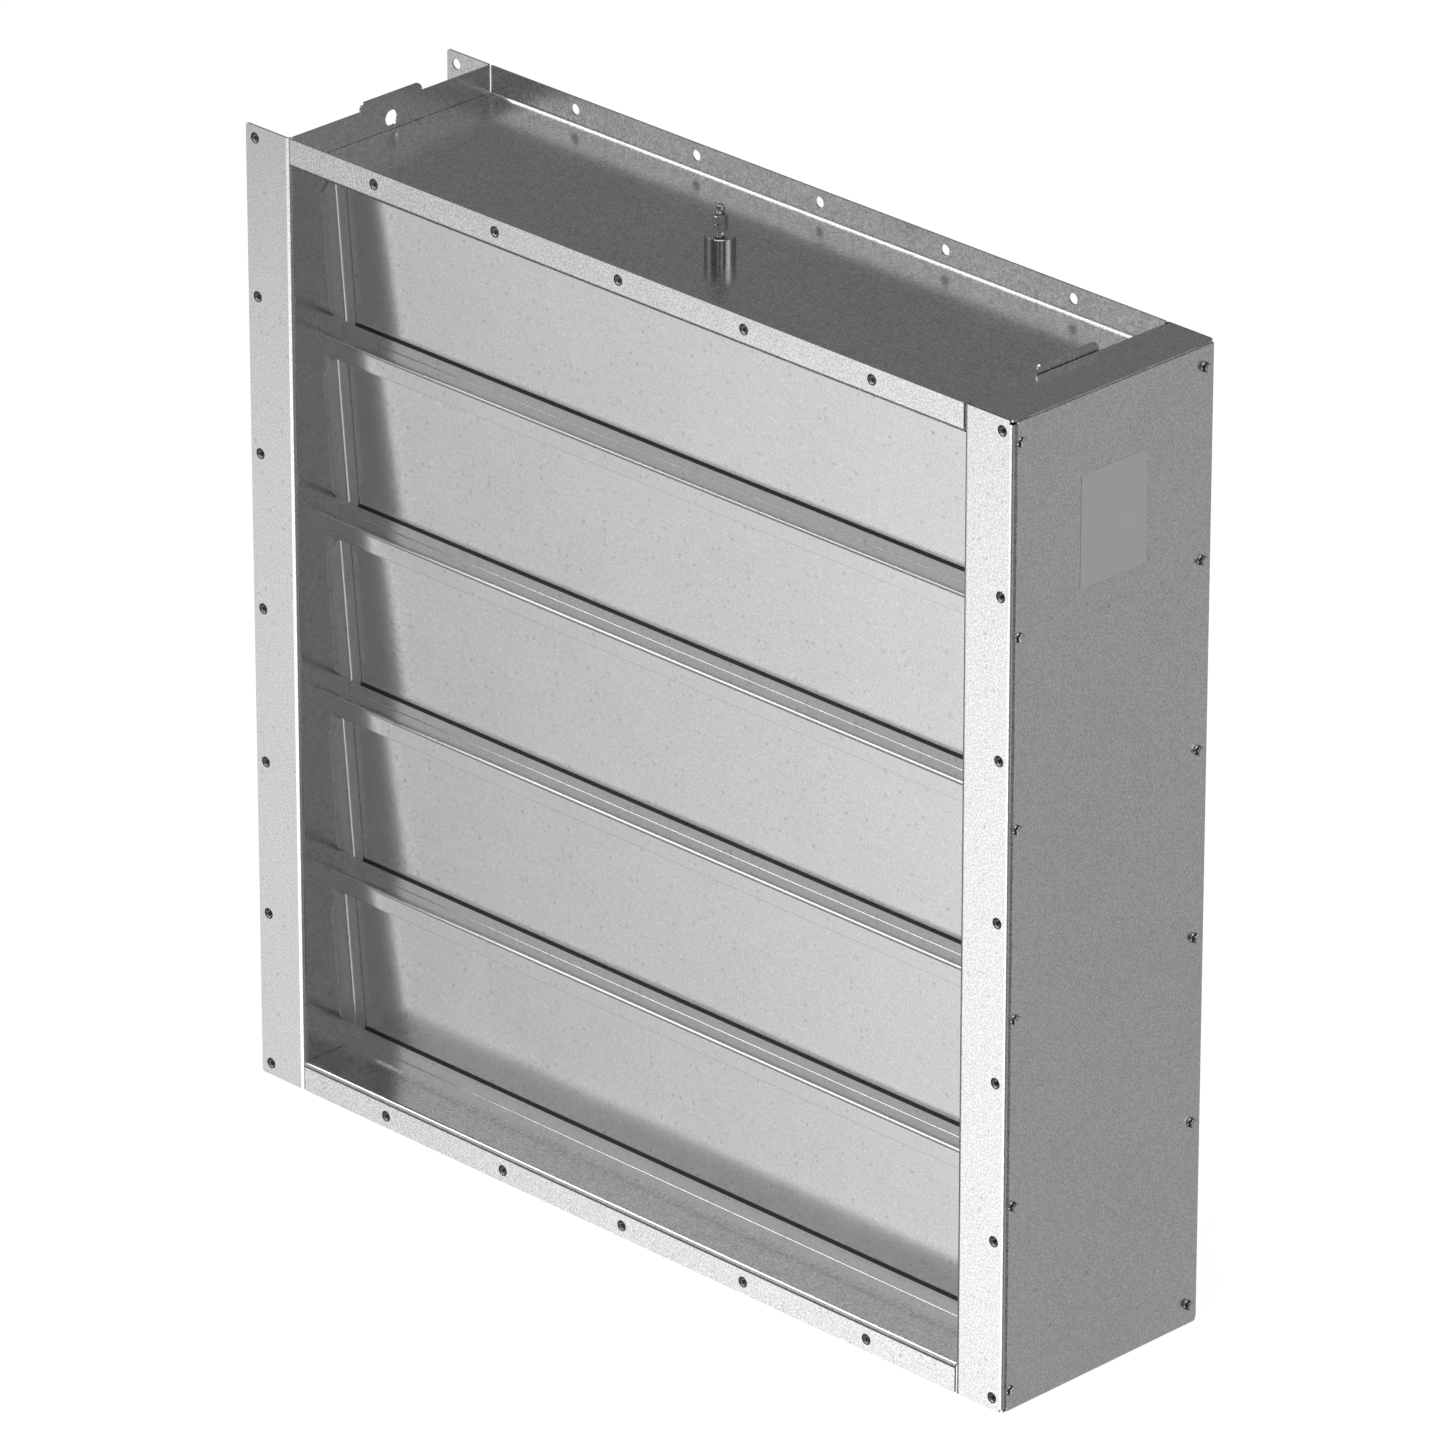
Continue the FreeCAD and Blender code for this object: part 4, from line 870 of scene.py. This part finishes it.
def softbox(nodes, direction, level):
    """Long low softbox in front of the object, with angles from straight ahead and from level."""
    x, y, z = nodes.add("ShaderNodeSeparateXYZ", {"Vector": direction}).outputs[:]
    turn = nodes.maths("ARCTAN2", nodes.product(x, -1.0), nodes.product(y, -1.0))
    rise = nodes.maths("ARCSINE", z)
    # Left end, right end, foot and top: the angles at which the light is gone and full, and its level
    sides = ((turn, 56.9, 36.5, level), (turn, -38.0, -22.0, 1.0),
             (rise, -39.0, -35.0, 1.0), (rise, -19.9, -23.9, 1.0))
    return nodes.product(*(nodes.span(angle, math.radians(gone), math.radians(full), 0.0, most, smooth=True)
                           for angle, gone, full, most in sides))


SOFTBOX_LEVEL = 1.6
BASE_LEVEL = 0.148
# Soft patches of the studio: direction, half width, half width of the full core, level
STUDIO = (
    ((-0.844, -0.474, -0.252), 16.7, 1.7, 0.80),
    ((0.62, -0.62, -0.48), 40.0, 5.0, 0.07),
    ((0.64, 0.64, -0.42), 70.0, 5.0, 0.245),
    ((-0.30, 0.85, 0.42), 35.0, 5.0, 0.045),
    ((-0.641, -0.15, 0.753), 15.0, 7.0, 3.0),
    ((-0.588, -0.689, 0.423), 9.0, 2.0, 0.30),
    ((-0.635, -0.640, 0.425), 26.0, 10.0, 0.30),
    ((0.439, -0.792, 0.423), 8.0, 2.0, 0.45),
    ((0.755, -0.500, 0.423), 8.0, 2.0, 0.90),
    ((0.821, 0.383, 0.423), 12.0, 4.0, 0.90),
)


class DAMPER_OT_stage(bpy.types.Operator):
    """White floor, soft studio light and the camera"""
    bl_idname = "damper.stage"
    bl_label = "Stage"

    def execute(self, context):
        size = context.scene.damper_stage
        scene = context.scene
        scene.view_settings.view_transform = "Standard"

        camera = bpy.data.objects.new("camera", bpy.data.cameras.new("camera"))
        camera.data.lens = size.lens
        camera.data.sensor_width = 36.0
        camera.data.clip_end = 200.0
        camera.location = (7.177268, -7.045055, 4.732499)
        camera.rotation_euler = Euler((math.radians(65), 0.0, math.radians(45)))
        scene.collection.objects.link(camera)
        scene.camera = camera

        world = bpy.data.worlds.new("studio")
        world.use_nodes = True
        world.node_tree.nodes.clear()
        nodes = Nodes(world.node_tree)
        path = nodes.add("ShaderNodeLightPath")
        direction = nodes.add("ShaderNodeTexCoord").outputs["Generated"]
        level = nodes.maths("ADD", softbox(nodes, direction, SOFTBOX_LEVEL), BASE_LEVEL)
        for way, width, core, amount in STUDIO:
            level = nodes.maths("ADD", lobe(nodes, direction, way, width, core, amount), level)
        studio = nodes.add("ShaderNodeBackground", {"Strength": level})
        white = nodes.add("ShaderNodeBackground", {"Strength": 1.0})
        white.inputs["Color"].default_value = (1.0, 1.0, 1.0, 1.0)
        studio.inputs["Color"].default_value = (1.0, 1.0, 1.0, 1.0)
        both = nodes.add("ShaderNodeMixShader", {0: path.outputs["Is Camera Ray"], 1: studio.outputs[0],
                                                 2: white.outputs[0]})
        nodes.add("ShaderNodeOutputWorld", {"Surface": both.outputs[0]})
        scene.world = world

        mesh = bmesh.new()
        half = size.floor_width / 2
        under = CAD_BOX[0][2]
        corners = [(-half, -half, under), (half, -half, under), (half, half, under), (-half, half, under)]
        mesh.faces.new([mesh.verts.new(corner) for corner in corners])
        floor = finished(mesh, "floor")
        material = bpy.data.materials.new("studio_floor")
        material.use_nodes = True
        material.node_tree.nodes.clear()
        nodes = Nodes(material.node_tree)
        path = nodes.add("ShaderNodeLightPath")
        matt = nodes.add("ShaderNodeBsdfDiffuse")
        matt.inputs["Color"].default_value = (*size.floor_colour, 1.0)
        faint = nodes.add("ShaderNodeBsdfDiffuse")
        faint.inputs["Color"].default_value = (size.shadow, size.shadow, size.shadow, 1.0)
        white = nodes.add("ShaderNodeEmission", {"Strength": 1.0 - 0.3 * size.shadow})
        white.inputs["Color"].default_value = (1.0, 1.0, 1.0, 1.0)
        shown = nodes.add("ShaderNodeAddShader", {0: faint.outputs[0], 1: white.outputs[0]})
        seen = nodes.add("ShaderNodeMixShader", {0: path.outputs["Is Camera Ray"], 1: matt.outputs[0],
                                                 2: shown.outputs[0]})
        clear = nodes.add("ShaderNodeBsdfTransparent")
        mirrored = nodes.maths("MAXIMUM", path.outputs["Is Glossy Ray"],
                               path.outputs["Is Transmission Ray"])
        final = nodes.add("ShaderNodeMixShader", {0: mirrored, 1: seen.outputs[0], 2: clear.outputs[0]})
        nodes.add("ShaderNodeOutputMaterial", {"Surface": final.outputs[0]})
        floor.data.materials.append(material)

        lamps = (("lamp_overhead", (0.8, -1.2, 5.0), 4.0, 60.0),
                 ("lamp_right", (5.2, 1.0, 2.8), 2.5, 22.0))
        for name, place, width, power in lamps:
            lamp = bpy.data.objects.new(name, bpy.data.lights.new(name, "AREA"))
            lamp.data.shape = "SQUARE"
            lamp.data.size = width
            lamp.data.energy = power
            lamp.location = place
            lamp.rotation_euler = (Vector(place)).to_track_quat("Z", "Y").to_euler()
            scene.collection.objects.link(lamp)
        return {"FINISHED"}


class DAMPER_PT_pieces(bpy.types.Panel):
    """Lists the damper's pieces and their sizes"""
    bl_label = "Damper"
    bl_idname = "DAMPER_PT_pieces"
    bl_space_type = "VIEW_3D"
    bl_region_type = "UI"
    bl_category = "Damper"

    def draw(self, context):
        for operator in OPERATORS:
            self.layout.operator(operator.bl_idname)
        for name in GROUPS:
            box = self.layout.box()
            group = getattr(context.scene, name)
            for key in group.__annotations__:
                box.prop(group, key)


GROUPS = {
    "damper_finish": DamperFinish,
    "damper_screw": DamperScrew,
    "damper_nut": DamperNut,
    "damper_earth": DamperEarth,
    "damper_plate": DamperPlate,
    "damper_seal": DamperSeal,
    "damper_stage": DamperStage,
}
OPERATORS = (
    DAMPER_OT_stage,
    DAMPER_OT_sheet_metal,
    DAMPER_OT_blades,
    DAMPER_OT_lip_seals,
    DAMPER_OT_linkage,
    DAMPER_OT_cover_screws,
    DAMPER_OT_flange_nuts,
    DAMPER_OT_earthing,
    DAMPER_OT_plate,
)


def register():
    """Adds the classes, and a group of settings to the scene for each kind of piece."""
    for kind in (*GROUPS.values(), *OPERATORS, DAMPER_PT_pieces):
        bpy.utils.register_class(kind)
    for name, group in GROUPS.items():
        setattr(bpy.types.Scene, name, bpy.props.PointerProperty(type=group))


def unregister():
    """Takes away what register() added."""
    for name in GROUPS:
        delattr(bpy.types.Scene, name)
    for kind in reversed((*GROUPS.values(), *OPERATORS, DAMPER_PT_pieces)):
        bpy.utils.unregister_class(kind)


def main():
    """Makes every piece in order."""
    register()
    bpy.ops.damper.stage()
    bpy.ops.damper.sheet_metal()
    bpy.ops.damper.blades()
    bpy.ops.damper.lip_seals()
    bpy.ops.damper.linkage()
    bpy.ops.damper.cover_screws()
    bpy.ops.damper.flange_nuts()
    bpy.ops.damper.earthing()
    bpy.ops.damper.plate()


if __name__ == "__main__":
    main()
